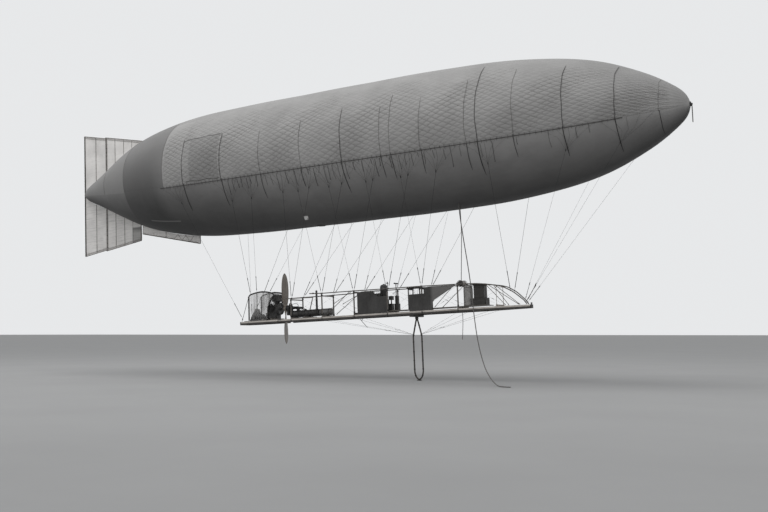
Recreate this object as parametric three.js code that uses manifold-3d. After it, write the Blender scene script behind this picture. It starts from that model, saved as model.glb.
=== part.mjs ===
// A small pressure airship of the early years of powered flight: a fabric hull,
// a fixed fin above and below the tail, one rudder, and an open wooden girder
// hung below on stays, with two seats, an engine and one wooden propeller.
// Millimetres. +X forward to the nose, +Y to port, +Z up.
// The origin is on the hull's axis, at its centre of buoyancy.

import * as THREE from 'three';
import { mergeVertices } from 'three/addons/utils/BufferGeometryUtils.js';
import Module from 'manifold-3d';

const wasm = await Module();
wasm.setup();

// Driving dimensions
const hullLength = 23000;
const hullRadius = 2220;
const hullWidest = 0.45; // share of the length, from the tail
const tailToOrigin = 12000;
const fabric = 10; // wall of the hull
const seat = 0.3; // gap where two pieces rest on each other
const girderDrop = 5400; // from the hull's axis to the underside of the lower beams
const girderHalf = 360; // from the middle plane to a lower beam's middle
const bay = 1225; // between the girder's cross frames
const firstFrame = -2330;
const propellerX = -2800;
const propellerRadius = 1195;
const shaftHeight = 490; // above the beams' underside
const hingeX = -10930; // rudder hinge, on the middle plane

// Girder timbers and tubes
const beam = { width: 55, depth: 110 };
const boomRadius = 16;
const hoopRadius = 24; // the bent tube over the engine
const flatShare = Math.cos(Math.PI / 8); // middle to flat of an eight-sided section
const post = { along: 34, across: 32 };
const bearer = { along: 50, depth: 50 };
const discGap = 65; // half the gap that the beams leave for the propeller's disc
const bearerBase = beam.depth + seat;
const bearerTop = bearerBase + bearer.depth;
const floorTop = 180;

// Finishes
const finishes = {
  hullCloth: [0x6f6c66, 0.85, 0],
  finCloth: [0xa9a59b, 0.8, 0],
  ash: [0x6b5a44, 0.6, 0],
  darkWood: [0x3b3027, 0.55, 0],
  iron: [0x2b2a29, 0.5, 0.8],
  tankMetal: [0x77736c, 0.45, 0.7],
  canvas: [0x4a4640, 0.9, 0],
  paleCanvas: [0x9a958a, 0.9, 0],
  gauze: [0xa8a59d, 0.8, 0],
  rope: [0x4b4237, 0.95, 0],
};

function finish(name) {
  const [color, roughness, metalness] = finishes[name];
  return new THREE.MeshStandardMaterial({ color, roughness, metalness });
}

function vec(x, y, z) {
  return new THREE.Vector3(x, y, z);
}

// Solids: three.js geometry in, a joined or cut solid out.

function toSolid(geometry) {
  const source = geometry.clone();
  source.deleteAttribute('normal');
  source.deleteAttribute('uv');
  const merged = mergeVertices(source, 1e-3);
  const corners = merged.index.array;
  const faces = [];
  for (let i = 0; i < corners.length; i += 3) {
    const [a, b, c] = [corners[i], corners[i + 1], corners[i + 2]];
    if (a !== b && b !== c && c !== a) {
      faces.push(a, b, c);
    }
  }
  const vertProperties = Float32Array.from(merged.attributes.position.array);
  const triVerts = Uint32Array.from(faces);
  return new wasm.Manifold(new wasm.Mesh({ numProp: 3, vertProperties, triVerts }));
}

function toGeometry(solid) {
  const mesh = solid.getMesh();
  const geometry = new THREE.BufferGeometry();
  geometry.setAttribute('position', new THREE.BufferAttribute(new Float32Array(mesh.vertProperties), 3));
  geometry.setIndex(new THREE.BufferAttribute(new Uint32Array(mesh.triVerts), 1));
  geometry.computeVertexNormals();
  return geometry;
}

function join(...geometries) {
  return geometries.map(toSolid).reduce((sum, next) => sum.add(next));
}

// A closed body through a row of rings that have equally many points.
function loft(rings) {
  const count = rings[0].length;
  const index = [];
  for (let i = 0; i < rings.length - 1; i += 1) {
    for (let j = 0; j < count; j += 1) {
      const k = (j + 1) % count;
      const [a, b, c, d] = [i * count + j, i * count + k, (i + 1) * count + j, (i + 1) * count + k];
      index.push(a, c, d, a, d, b);
    }
  }
  const end = (rings.length - 1) * count;
  for (let j = 1; j < count - 1; j += 1) {
    index.push(0, j, j + 1, end, end + j + 1, end + j);
  }
  const points = rings.flat();
  const volume = index.reduce((sum, v, i) => {
    if (i % 3) {
      return sum;
    }
    const [p, q, r] = [points[v], points[index[i + 1]], points[index[i + 2]]];
    return sum + p.dot(q.clone().cross(r));
  }, 0);
  if (volume < 0) {
    index.reverse();
  }
  const geometry = new THREE.BufferGeometry().setFromPoints(points);
  geometry.setIndex(index);
  geometry.computeVertexNormals();
  return geometry;
}

// A rod or rope of round section through the given points.
function tube(points, radius, sides = 6) {
  let across = null;
  const rings = points.map((point, i) => {
    const before = points[Math.max(i - 1, 0)];
    const after = points[Math.min(i + 1, points.length - 1)];
    const ahead = after.clone().sub(before).normalize();
    if (!across) {
      across = Math.abs(ahead.y) < 0.9 ? vec(0, 1, 0) : vec(1, 0, 0);
    }
    across = across.clone().sub(ahead.clone().multiplyScalar(across.dot(ahead))).normalize();
    const other = ahead.clone().cross(across);
    return Array.from({ length: sides }, (_, j) => {
      const turn = (2 * Math.PI * (j + 0.5)) / sides;
      return point.clone()
        .addScaledVector(across, radius * Math.cos(turn))
        .addScaledVector(other, radius * Math.sin(turn));
    });
  });
  return loft(rings);
}

// A sawn timber of upright rectangular section along points in plan, [x, y] rows, with square ends.
function timber(plan, width, base, depth) {
  const rings = plan.map(([x, y], i) => {
    const before = plan[Math.max(i - 1, 0)];
    const after = plan[Math.min(i + 1, plan.length - 1)];
    const half = (width / 2) * Math.hypot(1, (after[1] - before[1]) / (after[0] - before[0]));
    return [
      vec(x, y - half, base),
      vec(x, y + half, base),
      vec(x, y + half, base + depth),
      vec(x, y - half, base + depth),
    ];
  });
  return loft(rings);
}

function block(x0, x1, y0, y1, z0, z1) {
  const geometry = new THREE.BoxGeometry(x1 - x0, y1 - y0, z1 - z0);
  return geometry.translate((x0 + x1) / 2, (y0 + y1) / 2, (z0 + z1) / 2);
}

// A round bar along one axis, from a to b on that axis.
function bar(axis, a, b, centre, radius, sides = 24) {
  const geometry = new THREE.CylinderGeometry(radius, radius, b - a, sides);
  if (axis === 'x') {
    geometry.rotateZ(-Math.PI / 2);
    return geometry.translate((a + b) / 2, centre[0], centre[1]);
  }
  if (axis === 'z') {
    geometry.rotateX(Math.PI / 2);
    return geometry.translate(centre[0], centre[1], (a + b) / 2);
  }
  return geometry.translate(centre[0], (a + b) / 2, centre[1]);
}

// A flat plate in the middle plane: an outline of [x, z] rows, and its thickness.
function plate(outline, thickness, y = 0) {
  const shape = new THREE.Shape(outline.map(([x, z]) => new THREE.Vector2(x, z)));
  const geometry = new THREE.ExtrudeGeometry(shape, { depth: thickness, bevelEnabled: false });
  return geometry.rotateX(Math.PI / 2).translate(0, y + thickness / 2, 0);
}

// Value at x on a row of [x, value] points.
function along(table, x, column = 1) {
  const i = table.findIndex((row, n) => n > 0 && x <= row[0]);
  const [low, high] = i < 1 ? table.slice(-2) : [table[i - 1], table[i]];
  return low[column] + ((high[column] - low[column]) * (x - low[0])) / (high[0] - low[0]);
}

const sides = [['port', 1], ['starboard', -1]];

// Hull: a body of revolution, fullest a little behind its middle, blunt ahead and fine behind.

const hullStations = [0, 0.02, 0.045, 0.08, 0.12, 0.165, 0.22, 0.29, 0.37, 0.45, 0.55, 0.64,
  0.72, 0.78, 0.83, 0.87, 0.905, 0.935, 0.96, 0.98, 0.993, 1];

function hullRadiusAt(share) {
  if (share < hullWidest) {
    return hullRadius * (1 - ((hullWidest - share) / hullWidest) ** 4) ** 1.38;
  }
  return hullRadius * Math.max(0, 1 - ((share - hullWidest) / (1 - hullWidest)) ** 4.85) ** 0.74;
}

const hullLine = hullStations.map((share) => [share * hullLength - tailToOrigin, hullRadiusAt(share)]);

// The hull's profile moved outward by a lift, or inward by a negative one.
function hullProfile(lift) {
  return hullLine.map(([x, r], i) => {
    if (i === 0) {
      return new THREE.Vector2(0, x - 2.4 * lift);
    }
    if (i === hullLine.length - 1) {
      return new THREE.Vector2(0, x + lift);
    }
    const [before, after] = [hullLine[i - 1], hullLine[i + 1]];
    const normal = new THREE.Vector2(after[0] - before[0], before[1] - after[1]).normalize();
    return new THREE.Vector2(Math.max(r + lift * normal.x, 0.5), x + lift * normal.y);
  });
}

const hullFacets = 48;

function hullSolid(lift) {
  return toSolid(new THREE.LatheGeometry(hullProfile(lift), hullFacets).rotateZ(-Math.PI / 2));
}

// A point on the hull's side: angle in degrees below the widest line, side 1 port or -1 starboard.
function onHull(x, below, side, lift) {
  const radius = along(hullLine, x) + lift;
  const angle = THREE.MathUtils.degToRad(below);
  return vec(x, side * radius * Math.cos(angle), -radius * Math.sin(angle));
}

const hull = new THREE.Group();
const clearHull = hullSolid(seat + 0.2);

const neck = { x: -1250, radius: 120, wall: 20, drop: 18 };

function makeEnvelope() {
  const bottom = -hullRadiusAt((neck.x + tailToOrigin) / hullLength);
  const ring = bar('z', bottom - neck.drop, bottom + 40, [neck.x, 0], neck.radius + neck.wall, 32);
  const hole = bar('z', bottom - 60, bottom + 200, [neck.x, 0], neck.radius, 32);
  return hullSolid(0).add(toSolid(ring)).subtract(hullSolid(-fabric)).subtract(toSolid(hole));
}

// Girdle: the net ends on a band along each side, 17 degrees below the widest line.
const band = { low: 15.6, high: 19.4, thick: 10, first: 0.045, last: 0.98 };

function makeBand(side) {
  const half = 180 / hullFacets;
  const facetMiddle = 15 + half;
  const rings = [];
  for (const share of hullStations.filter((s) => s >= band.first && s <= band.last)) {
    const x = share * hullLength - tailToOrigin;
    const ring = [[band.low, 0], [band.high, 0], [band.high, 1], [band.low, 1]].map(([angle, outer]) => {
      const flat = THREE.MathUtils.degToRad(angle - facetMiddle);
      const radius = (hullRadiusAt(share) * Math.cos(THREE.MathUtils.degToRad(half))) / Math.cos(flat);
      const turn = THREE.MathUtils.degToRad(angle);
      const lifted = radius + (outer ? band.thick : -2);
      return vec(x, side * lifted * Math.cos(turn), -lifted * Math.sin(turn));
    });
    rings.push(ring);
  }
  return loft(rings);
}

// Upper rails of the girder, as seen from the side and in plan: [x, height, half width] rows.
const railAhead = [
  [120, 883, girderHalf],
  [1345, 874, girderHalf],
  [2570, 872, girderHalf],
  [3795, 850, girderHalf],
  [4400, 828, 351],
  [4760, 785, 312],
  [5000, 745, 272],
  [5200, 690, 228],
  [5330, 625, 195],
  [5510, 520, 154],
  [5700, 360, 116],
  [5830, 240, 90],
  [5905, beam.depth + boomRadius + 6, 76],
];
// The starboard rail starts at the tank's standpipe, the port one at the propeller's disc.
const railLines = {
  starboard: [[-1580, 905, girderHalf], [-1105, 884, girderHalf], ...railAhead],
  port: [[propellerX + discGap, 843, girderHalf], [-1105, 843, girderHalf], [-500, 848, girderHalf],
    ...railAhead],
};
// A lower rail of the starboard side's rear bay, on the first frame, bent down to the tank.
const lowRail = {
  start: [propellerX + discGap, 797],
  end: [-1450, 772],
  bend: [-1510, 310, 705],
  foot: [-1820, 0],
};

const beamPlan = [
  [propellerX + discGap, girderHalf],
  [4100, girderHalf],
  [4500, 350],
  [4900, 293],
  [5400, 185],
  [6000, 50],
];

// Hoop over the engine: a bent tube from one foot on the stern beam to the other.
const sternLine = [
  [-3290, beam.depth + hoopRadius + 2, girderHalf],
  [-3275, 520, girderHalf],
  [-3150, 780, girderHalf],
  [-3035, 925, girderHalf],
  [-3060, 990, girderHalf],
  [-3160, 1035, girderHalf],
  [-3300, 1066, girderHalf],
  [-3500, 1086, girderHalf],
  [-3700, 1074, girderHalf],
  [-3900, 1038, girderHalf],
  [-4010, 1004, girderHalf],
  [-4062, 940, girderHalf],
  [-4070, beam.depth + hoopRadius + 2, girderHalf],
];

const sternPlan = [
  [propellerX - discGap, girderHalf],
  [-4110, girderHalf],
  [-4480, 250],
];

// Stays: [x at the girder, x where they meet the hull]
const stays = [
  [-4410, -5800],
  [-3980, -3500],
  [-3720, -2650],
  [-2310, -1400],
  [-2280, -300],
  [-1120, -900],
  [-1085, 900],
  [100, 250],
  [135, 2000],
  [1318, 1600],
  [1405, 3200],
  [2550, 2800],
  [2585, 4100],
  [5440, 5600],
  [5850, 8000],
  [5875, 9500],
];
const stayRadius = 6;
const sternTop = sternLine.slice(6, 12).reverse();
const lowTop = [lowRail.start, lowRail.end].map(([x, height]) => [x, height, girderHalf]);

// The tube that a stay comes down to.
function stayLine(x, side) {
  if (x < -3000) {
    return sternTop;
  }
  if (side < 0 && x < -2000) {
    return lowTop;
  }
  return side < 0 ? railLines.starboard : railLines.port;
}

// A rope from the band down over the hull's flank, then straight to the girder's upper tube.
// It leaves the hull where its straight stretch is tangent to the surface.
function makeStay([x, top], side) {
  const line = stayLine(x, side);
  const foot = vec(x, side * along(line, x, 2), along(line, x) - girderDrop + 4);
  const radius = along(hullLine, top);
  const slope = (along(hullLine, top + 50) - along(hullLine, top - 50)) / 100;
  const reach = Math.hypot(foot.y, foot.z);
  const share = (radius + slope * (x - top)) / reach;
  const down = THREE.MathUtils.radToDeg(Math.atan2(-foot.z, Math.abs(foot.y)) - Math.acos(share));
  const start = (band.low + band.high) / 2 + 1;
  const leave = Math.max(down, band.high + 0.5);
  const lift = (stayRadius + 2) * Math.hypot(1, slope);
  const steps = Math.ceil((leave - start) / 6);
  const points = Array.from({ length: steps + 1 }, (_, i) => (
    onHull(top, start + ((leave - start) * i) / steps, side, lift)));
  points.push(foot);
  return tube(points, stayRadius);
}

// A tube of the girder along [x, height, half width] rows.
function girderTube(line, side, lift = 0, radius = boomRadius) {
  return toSolid(tube(line.map(([x, height, half]) => vec(x, side * half, height)), radius + lift, 8));
}

function makeRigging(side) {
  const tubes = [
    girderTube(railLines[side < 0 ? 'starboard' : 'port'], side, seat),
    girderTube(sternLine, side, seat, hoopRadius),
  ];
  if (side < 0) {
    tubes.push(girderTube(lowTop, side, seat));
  }
  const whole = join(makeBand(side), ...stays.map((row) => makeStay(row, side))).subtract(clearHull);
  return tubes.reduce((rigging, cut) => rigging.subtract(cut.translate(0, 0, -girderDrop)), whole);
}

// Fins and rudder: cloth on spars in the middle plane, cut to the hull's tail.
const fin = {
  topBack: [-12045, 2360],
  topFront: [-9060, 1740],
  lowBack: [-12045, -2415],
  lowFront: [-9190, -2012],
  cloth: 8,
  spar: 16,
  edge: 13,
};
const finSpars = [-10880, -10460, -10020, -9610];
const rudderSpars = [-11450];

function finEdge(x, upper) {
  const [back, front] = upper ? [fin.topBack, fin.topFront] : [fin.lowBack, fin.lowFront];
  return back[1] + ((front[1] - back[1]) * (x - back[0])) / (front[0] - back[0]);
}

const clearTail = hullSolid(15);

function makeFin(upper) {
  const front = upper ? fin.topFront[0] : fin.lowFront[0];
  const rear = finSpars[0];
  const outer = [[rear, finEdge(rear, upper)], [front, finEdge(front, upper)]];
  const sheet = plate([...outer, [front, 0], [rear, 0]], fin.cloth);
  const spars = [...finSpars, front].map((x) => (
    tube([vec(x, 0, finEdge(x, upper)), vec(x, 0, 0)], fin.spar, 8)));
  const edgeEnds = [hingeX - 20, front].map((x) => vec(x, 0, finEdge(x, upper)));
  const edge = tube(edgeEnds, fin.edge, 8);
  const way = upper ? 1 : -1;
  const pinEnds = [rudderEdge(hingeX, upper) + way * (sparProud + seat), finEdge(hingeX, upper)];
  const pin = bar('z', Math.min(...pinEnds), Math.max(...pinEnds), [hingeX, 0], pinRadius, 12);
  return join(sheet, ...spars, edge, pin).subtract(clearHull);
}

// The rudder's edges run this far inside the line of the fins' edges.
const hingeDrop = 31;
const pinRadius = 8;
const sparProud = 14; // the hinge spar stands proud of the rudder's edge

function rudderEdge(x, upper) {
  return finEdge(x, upper) + (upper ? -hingeDrop : hingeDrop);
}

function makeRudder() {
  const back = fin.topBack[0];
  const top = (x) => rudderEdge(x, true);
  const low = (x) => rudderEdge(x, false);
  const outline = [[back, top(back)], [hingeX, top(hingeX)], [hingeX, low(hingeX)], [back, low(back)]];
  const sheet = plate(outline, fin.cloth);
  const uprights = [back, ...rudderSpars].map((x) => (
    tube([vec(x, 0, top(x)), vec(x, 0, low(x))], fin.spar + 3, 8)));
  const hingeEnds = [vec(hingeX, 0, top(hingeX) + sparProud), vec(hingeX, 0, low(hingeX) - sparProud)];
  uprights.push(tube(hingeEnds, fin.spar, 8));
  const edges = [top, low].map((height) => (
    tube([back, hingeX].map((x) => vec(x, 0, height(x))), fin.edge, 8)));
  return join(sheet, ...uprights, ...edges).subtract(clearTail);
}

// Keel cloth: a shallow strip under the hull behind the lower fin, with a boom along its foot.
const keel = { rear: -9120, front: -6400, depth: 340, cloth: 6, boom: 16 };

function makeKeel() {
  const xs = [keel.rear, -8600, -8000, -7200, keel.front];
  const foot = (x) => -hullRadiusAt((x + tailToOrigin) / hullLength) - keel.depth;
  const lower = xs.map((x) => [x, foot(x)]);
  const upper = xs.map((x) => [x, foot(x) + keel.depth + 60]).reverse();
  const outline = [...lower, ...upper];
  const sheet = plate(outline, keel.cloth);
  const boom = tube(xs.map((x) => vec(x, 0, foot(x))), keel.boom, 8);
  const struts = [keel.rear, -8000, keel.front].map((x) => (
    tube([vec(x, 0, foot(x)), vec(x, 0, foot(x) + keel.depth + 40)], 12, 6)));
  return join(sheet, boom, ...struts).subtract(clearHull);
}

function makeNoseFitting() {
  const nose = hullLength - tailToOrigin;
  const cap = bar('x', nose - 40, nose + 22, [0, 0], 70, 24);
  const eye = block(nose, nose + 60, -8, 8, -35, 25);
  return join(cap, eye).subtract(clearHull);
}

// Propeller: two blades whose faces follow one screw of fixed pitch.
const screwPitch = 900;
// [radius, chord, thickness]
const bladeSections = [
  [20, 110, 70],
  [90, 125, 64],
  [200, 190, 46],
  [380, 270, 32],
  [600, 322, 24],
  [820, 318, 18],
  [1000, 262, 14],
  [1110, 180, 10],
  [1170, 96, 8],
  [propellerRadius, 24, 4],
];

function makePropeller() {
  const blade = bladeSections.map(([radius, chord, thickness]) => {
    const pitch = Math.atan(screwPitch / (2 * Math.PI * Math.max(radius, 90)));
    return Array.from({ length: 12 }, (_, i) => {
      const turn = (2 * Math.PI * i) / 12;
      const [u, v] = [(chord / 2) * Math.cos(turn), (thickness / 2) * Math.sin(turn)];
      const [sin, cos] = [Math.sin(pitch), Math.cos(pitch)];
      return vec(u * sin + v * cos, u * cos - v * sin, radius);
    });
  });
  const upper = loft(blade);
  const lower = upper.clone().rotateX(Math.PI);
  const hub = bar('x', -60, 60, [0, 0], 80, 24);
  const bore = bar('x', -90, 90, [0, 0], shaftRadius + 0.6, 24);
  return join(upper, lower, hub).subtract(toSolid(bore));
}

const shaftRadius = 25;

// Girder pieces, with heights measured up from the underside of the lower beams.

function railAt(x, side, column = 1) {
  if (side < 0 && x < -1600) {
    return along(lowTop, x, column);
  }
  return along(railLines[side < 0 ? 'starboard' : 'port'], x, column);
}

// A cross frame: a bearer over the lower beams, a post on each side, and a tie under the rails.
function makeFrame(x, tie) {
  const half = railAt(x, -1, 2);
  const wide = half + post.across / 2;
  const parts = [block(x - bearer.along / 2, x + bearer.along / 2, -wide, wide, bearerBase, bearerTop)];
  for (const [, side] of sides) {
    const y = side * half;
    parts.push(block(x - post.along / 2, x + post.along / 2, y - post.across / 2, y + post.across / 2,
      bearerBase, railAt(x, side)));
  }
  if (tie) {
    const top = Math.min(railAt(x, -1), railAt(x, 1)) - 25;
    parts.push(block(x - 15, x + 15, -half, half, top - 35, top));
  }
  return sides.reduce((frame, [name, side]) => frame.subtract(girderTube(railLines[name], side, seat)),
    join(...parts));
}

// The first frame carries the low rail of the starboard side, which bends down to the rear tank.
function makeLowRail() {
  const path = [
    ...[lowRail.start, lowRail.end].map(([x, height]) => vec(x, -girderHalf, height)),
    vec(lowRail.bend[0], -lowRail.bend[1], lowRail.bend[2]),
    vec(lowRail.foot[0], -lowRail.foot[1], tank.crown - 20),
  ];
  const clearTank = toSolid(makeTank(tank.rear, tank.joint, tank.radius + seat, 14));
  return toSolid(tube(path, boomRadius, 8)).subtract(clearTank);
}

// Braces across the bays, hung from the rails: [top x, foot x, foot height] rows.
const braces = [
  [-30, -950, 190],
  [60, -700, 520],
  [4760, 5640, 135],
  [4700, 5250, 135],
  [3700, 2960, 200],
];

function makeBoom(side) {
  const line = railLines[side < 0 ? 'starboard' : 'port'];
  const rods = braces.map(([top, foot, height]) => (
    tube([
      vec(top, side * (along(line, top, 2) - 6), along(line, top)),
      vec(foot, side * (along(line, foot, 2) - 80), height),
    ], 9)));
  if (side < 0) {
    rods.push(makeFinial(1368), bar('x', -1475, -1405, [-girderHalf, along(line, -1440) + 4], 24, 12));
  }
  return rods.reduce((boom, rod) => boom.add(toSolid(rod)), girderTube(line, side));
}

// A pointed cap on a rod that stands on the starboard rail.
function makeFinial(x) {
  const foot = along(railLines.starboard, x);
  const profile = [[0, foot], [11, foot], [11, 1030], [36, 1036], [30, 1052], [6, 1098], [0, 1098]];
  const geometry = new THREE.LatheGeometry(profile.map(([r, z]) => new THREE.Vector2(r, z)), 12);
  return geometry.rotateX(Math.PI / 2).translate(x, -girderHalf, 0);
}

const sternUpright = -3720;

function makeSternFrame(side) {
  const upright = tube([vec(sternUpright, side * girderHalf, bearerBase),
    vec(sternUpright, side * girderHalf, along(sternTop, sternUpright))], 17, 8);
  const strut = tube([vec(-4450, side * 262, beam.depth + 14), vec(-4066, side * girderHalf, 950)], 8);
  return girderTube(sternLine, side, 0, hoopRadius).add(join(upright, strut));
}

const screenFlat = hoopRadius * flatShare + seat + 2;

function makeScreen(side) {
  const outline = [[-4060, bearerBase], [-3300, bearerBase], [-3290, 540], [-3160, 790], [-3052, 925],
    [-3075, 975], [-3170, 1015], [-3300, 1045], [-3500, 1064], [-3700, 1052], [-3890, 1017],
    [-3995, 985], [-4045, 930]];
  return plate(outline, 4, side * (girderHalf + screenFlat));
}

// Low block with four cylinders, and ahead of it the upright case that takes the drive up to the
// propeller's shaft and on to the header tank.
const engine = { rear: -3545, front: -3085, base: 200, deck: 380, top: 600, cylinder: 46 };

function makeEngine() {
  const { rear, front, base, deck, top } = engine;
  const feet = bearerTop + seat + 10;
  const parts = [
    block(rear, front, -125, 125, base, deck),
    block(rear + 40, front - 60, -70, 70, base - 15, base + 20),
    block(rear + 30, rear + 90, -170, 170, feet, base + 60),
    block(front - 90, front - 30, -170, 170, feet, base + 60),
    block(front - 95, front, -85, 85, deck - 40, 760),
    block(front - 130, -2935, -190, 190, 740, 930),
    bar('y', -120, 120, [front - 70, 935], 60, 16),
    bar('x', front - 20, front + 20, [0, shaftHeight], 66, 20),
    bar('z', 920, 975, [front + 60, 60], 36, 16),
  ];
  for (const x of [-3485, -3390, -3295, -3225]) {
    parts.push(bar('z', deck - 10, top, [x, 0], engine.cylinder, 16));
    for (const height of [430, 465, 500, 535, 570]) {
      parts.push(bar('z', height, height + 12, [x, 0], engine.cylinder + 15, 16));
    }
    const outlet = [[30, -20], [60, 45], [105, 20], [120, -60]].map(([y, z]) => vec(x, y, top + z));
    parts.push(tube(outlet, 17, 8));
  }
  parts.push(
    bar('x', rear, front - 110, [120, top - 60], 30, 12),
    tube([vec(-3180, -60, 890), vec(-3290, -95, 905), vec(-3380, -110, 830), vec(-3420, -105, 700),
      vec(-3440, -80, 560), vec(-3440, -40, 520)], 20, 8),
    bar('z', 560, 690, [-3390, 0], 40, 16),
  );
  return join(...parts);
}

function makeTank(x0, x1, radius, shoulder) {
  const middle = bearerTop + seat + radius;
  const profile = [[0, x0], [radius - shoulder, x0], [radius, x0 + shoulder], [radius, x1 - shoulder],
    [radius - shoulder, x1], [0, x1]].map(([r, x]) => new THREE.Vector2(r, x));
  return new THREE.LatheGeometry(profile, 28).rotateZ(-Math.PI / 2).translate(0, 0, middle);
}

const tank = { rear: -2560, joint: -1425, radius: 118 };
tank.crown = bearerTop + seat + 2 * tank.radius;

// The rear tank carries a standpipe with a small cap, and a valve box.
function makeRearTank() {
  const { crown } = tank;
  return join(
    makeTank(tank.rear, tank.joint, tank.radius, 14),
    bar('z', crown - 60, 1004, [-1538, 0], 34, 16),
    bar('z', 1000, 1010, [-1538, 0], 40, 16),
    bar('z', 1005, 1030, [-1538, 0], 12, 12),
    block(-2286, -2190, -112, -34, crown - 80, 512),
    bar('z', crown - 40, crown + 40, [-2000, 0], 45, 16),
  );
}

// Case with a rounded top that stands on the floor between the seats.
function makeUprightCase() {
  return join(
    block(925, 1150, -110, 110, floorTop + seat, 560),
    block(950, 1130, -95, 95, 540, 950),
    bar('y', -95, 95, [1040, 945], 90, 24),
    bar('z', 980, 1058, [1040, 0], 34, 16),
  );
}

// The pilot's controls: a case with a column, and two boxes on a stand behind it.
function makeControlCase() {
  return join(
    block(1225, 1570, -60, 60, floorTop + seat, floorTop + 30),
    block(1440, 1570, -85, 85, floorTop + seat, 400),
    block(1455, 1555, -50, 50, 380, 640),
    block(1245, 1345, -85, 85, floorTop + 10, 410),
    block(1280, 1310, -18, 18, 400, 560),
    block(1235, 1350, -75, 75, 530, 655),
  );
}

// Low case on the stern deck, with a sloping housing at its rear end.
function makeSternCase() {
  const base = bearerBase + 20 + seat;
  const slope = plate([[-4255, base], [-3900, base], [-3905, 420], [-3950, 530], [-4000, 545]], 190);
  return join(slope, block(-4150, -3640, -150, 150, base, 285), bar('y', -110, 110, [-3800, 285], 70, 20));
}

function makeSeat(x0, x1, top) {
  const parts = [block(x0, x1, -200, 200, top - 25, top)];
  for (const x of [x0 + 40, x1 - 40]) {
    for (const y of [-160, 160]) {
      parts.push(block(x - 15, x + 15, y - 15, y + 15, floorTop + seat, top - 10));
    }
    parts.push(block(x - 15, x + 15, -160, 160, top - 70, top - 20));
  }
  return join(...parts);
}

// The starboard cloths reach further: a flap between the seats, and a corner up along the rail.
const clothOutlines = {
  starboard: {
    rear: [[250, bearerBase], [1328, bearerBase], [1328, 645], [1010, 640], [930, 690], [860, 815],
      [560, 835], [250, 800]],
    front: [[2130, bearerBase], [2905, bearerBase], [2945, 390], [3700, 796], [3730, 832], [2900, 838],
      [2680, 826], [2660, 640], [2130, 632]],
  },
  port: {
    rear: [[250, bearerBase], [950, bearerBase], [950, 640], [700, 800], [250, 790]],
    front: [[2130, bearerBase], [2540, bearerBase], [2540, 640], [2130, 632]],
  },
};

// Cloth laced to a side of the girder, outside the posts: an outline of [x, height] rows.
function makeCloth(outline, side) {
  const thick = 6;
  return plate(outline, thick, side * (girderHalf + post.across / 2 + seat + thick / 2));
}

function makeSkid() {
  const x = 2180;
  const legs = [-1, 1].map((way) => tube([
    vec(x - way * 6, 0, -86),
    vec(x + way * 145, 0, -640),
    vec(x + way * 150, 0, -720),
    vec(x + way * 150, 0, -1700),
    vec(x + way * 132, 0, -1840),
    vec(x + way * 85, 0, -1950),
    vec(x + way * 5, 0, -2014),
    vec(x - way * 20, 0, -2018),
  ], 25, 10));
  const head = block(x - 45, x + 45, -30, 30, -130, -60 - 2 * seat);
  const shoe = block(x - 70, x + 70, -40, 40, -2052, -2030);
  return join(...legs, head, shoe);
}

const drum = { x: 3795, barrel: 82, cheek: 105, axle: 15 };
drum.height = along(railAhead, drum.x) + boomRadius * flatShare + seat + drum.axle + 0.1;

function makeDrum() {
  const centre = [drum.x, drum.height];
  return join(
    bar('y', -385, 385, centre, drum.axle, 12),
    bar('y', -150, 150, centre, drum.barrel, 24),
    bar('y', -160, -148, centre, drum.cheek, 24),
    bar('y', 148, 160, centre, drum.cheek, 24),
  );
}

// Ropes
const trailRadius = 14;
// The guide rope hangs from the belly past the girder's starboard side and trails on the ground.
const trailRope = [
  [4058, -560, -2060], [4085, -560, -2500], [4150, -530, -3200], [4230, -480, -4000], [4290, -450, -4700],
  [4330, -455, -5300], [4400, -520, -5800], [4530, -680, -6300], [4730, -920, -6780], [4980, -1230, -7150],
  [5270, -1580, -7400], [5560, -1960, -7535], [5790, -2250, -7592], [6010, -2430, -7606],
  [6230, -2510, -7616],
].map((p) => vec(...p));
const dropLine = [[3930, -360, -5400.4], [3928, -361, -5700], [3910, -368, -6000], [3890, -372, -6240]]
  .map((p) => vec(...p));
const drumRope = [[3998, -330, -2110], [3975, -270, -3000], [3850, -130, -4100], [3812, -90, -4462]]
  .map((p) => vec(...p));
const noseStrop = [[11036, 0, -35.4], [11036, 0, -200], [11034, 0, -380], [11032, 0, -520]]
  .map((p) => vec(...p));

// Assembly
const airship = new THREE.Group();
const girder = new THREE.Group();
girder.position.set(0, 0, -girderDrop);
const rudderGroup = new THREE.Group();
const rotor = new THREE.Group();
rotor.position.set(propellerX, 0, shaftHeight);
airship.add(hull, rudderGroup, girder);
girder.add(rotor);

function add(group, name, shape, look) {
  const geometry = shape.isBufferGeometry ? shape : toGeometry(shape);
  const mesh = new THREE.Mesh(geometry, finish(look));
  mesh.name = name;
  group.add(mesh);
}

add(hull, 'envelope', makeEnvelope(), 'hullCloth');
add(hull, 'nose_fitting', makeNoseFitting(), 'iron');
add(hull, 'fin_top', makeFin(true), 'finCloth');
add(hull, 'fin_bottom', makeFin(false), 'finCloth');
add(hull, 'keel_cloth', makeKeel(), 'finCloth');
add(rudderGroup, 'rudder', makeRudder(), 'finCloth');
for (const [name, side] of sides) {
  add(hull, `rigging_${name}`, makeRigging(side), 'rope');
}

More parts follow.
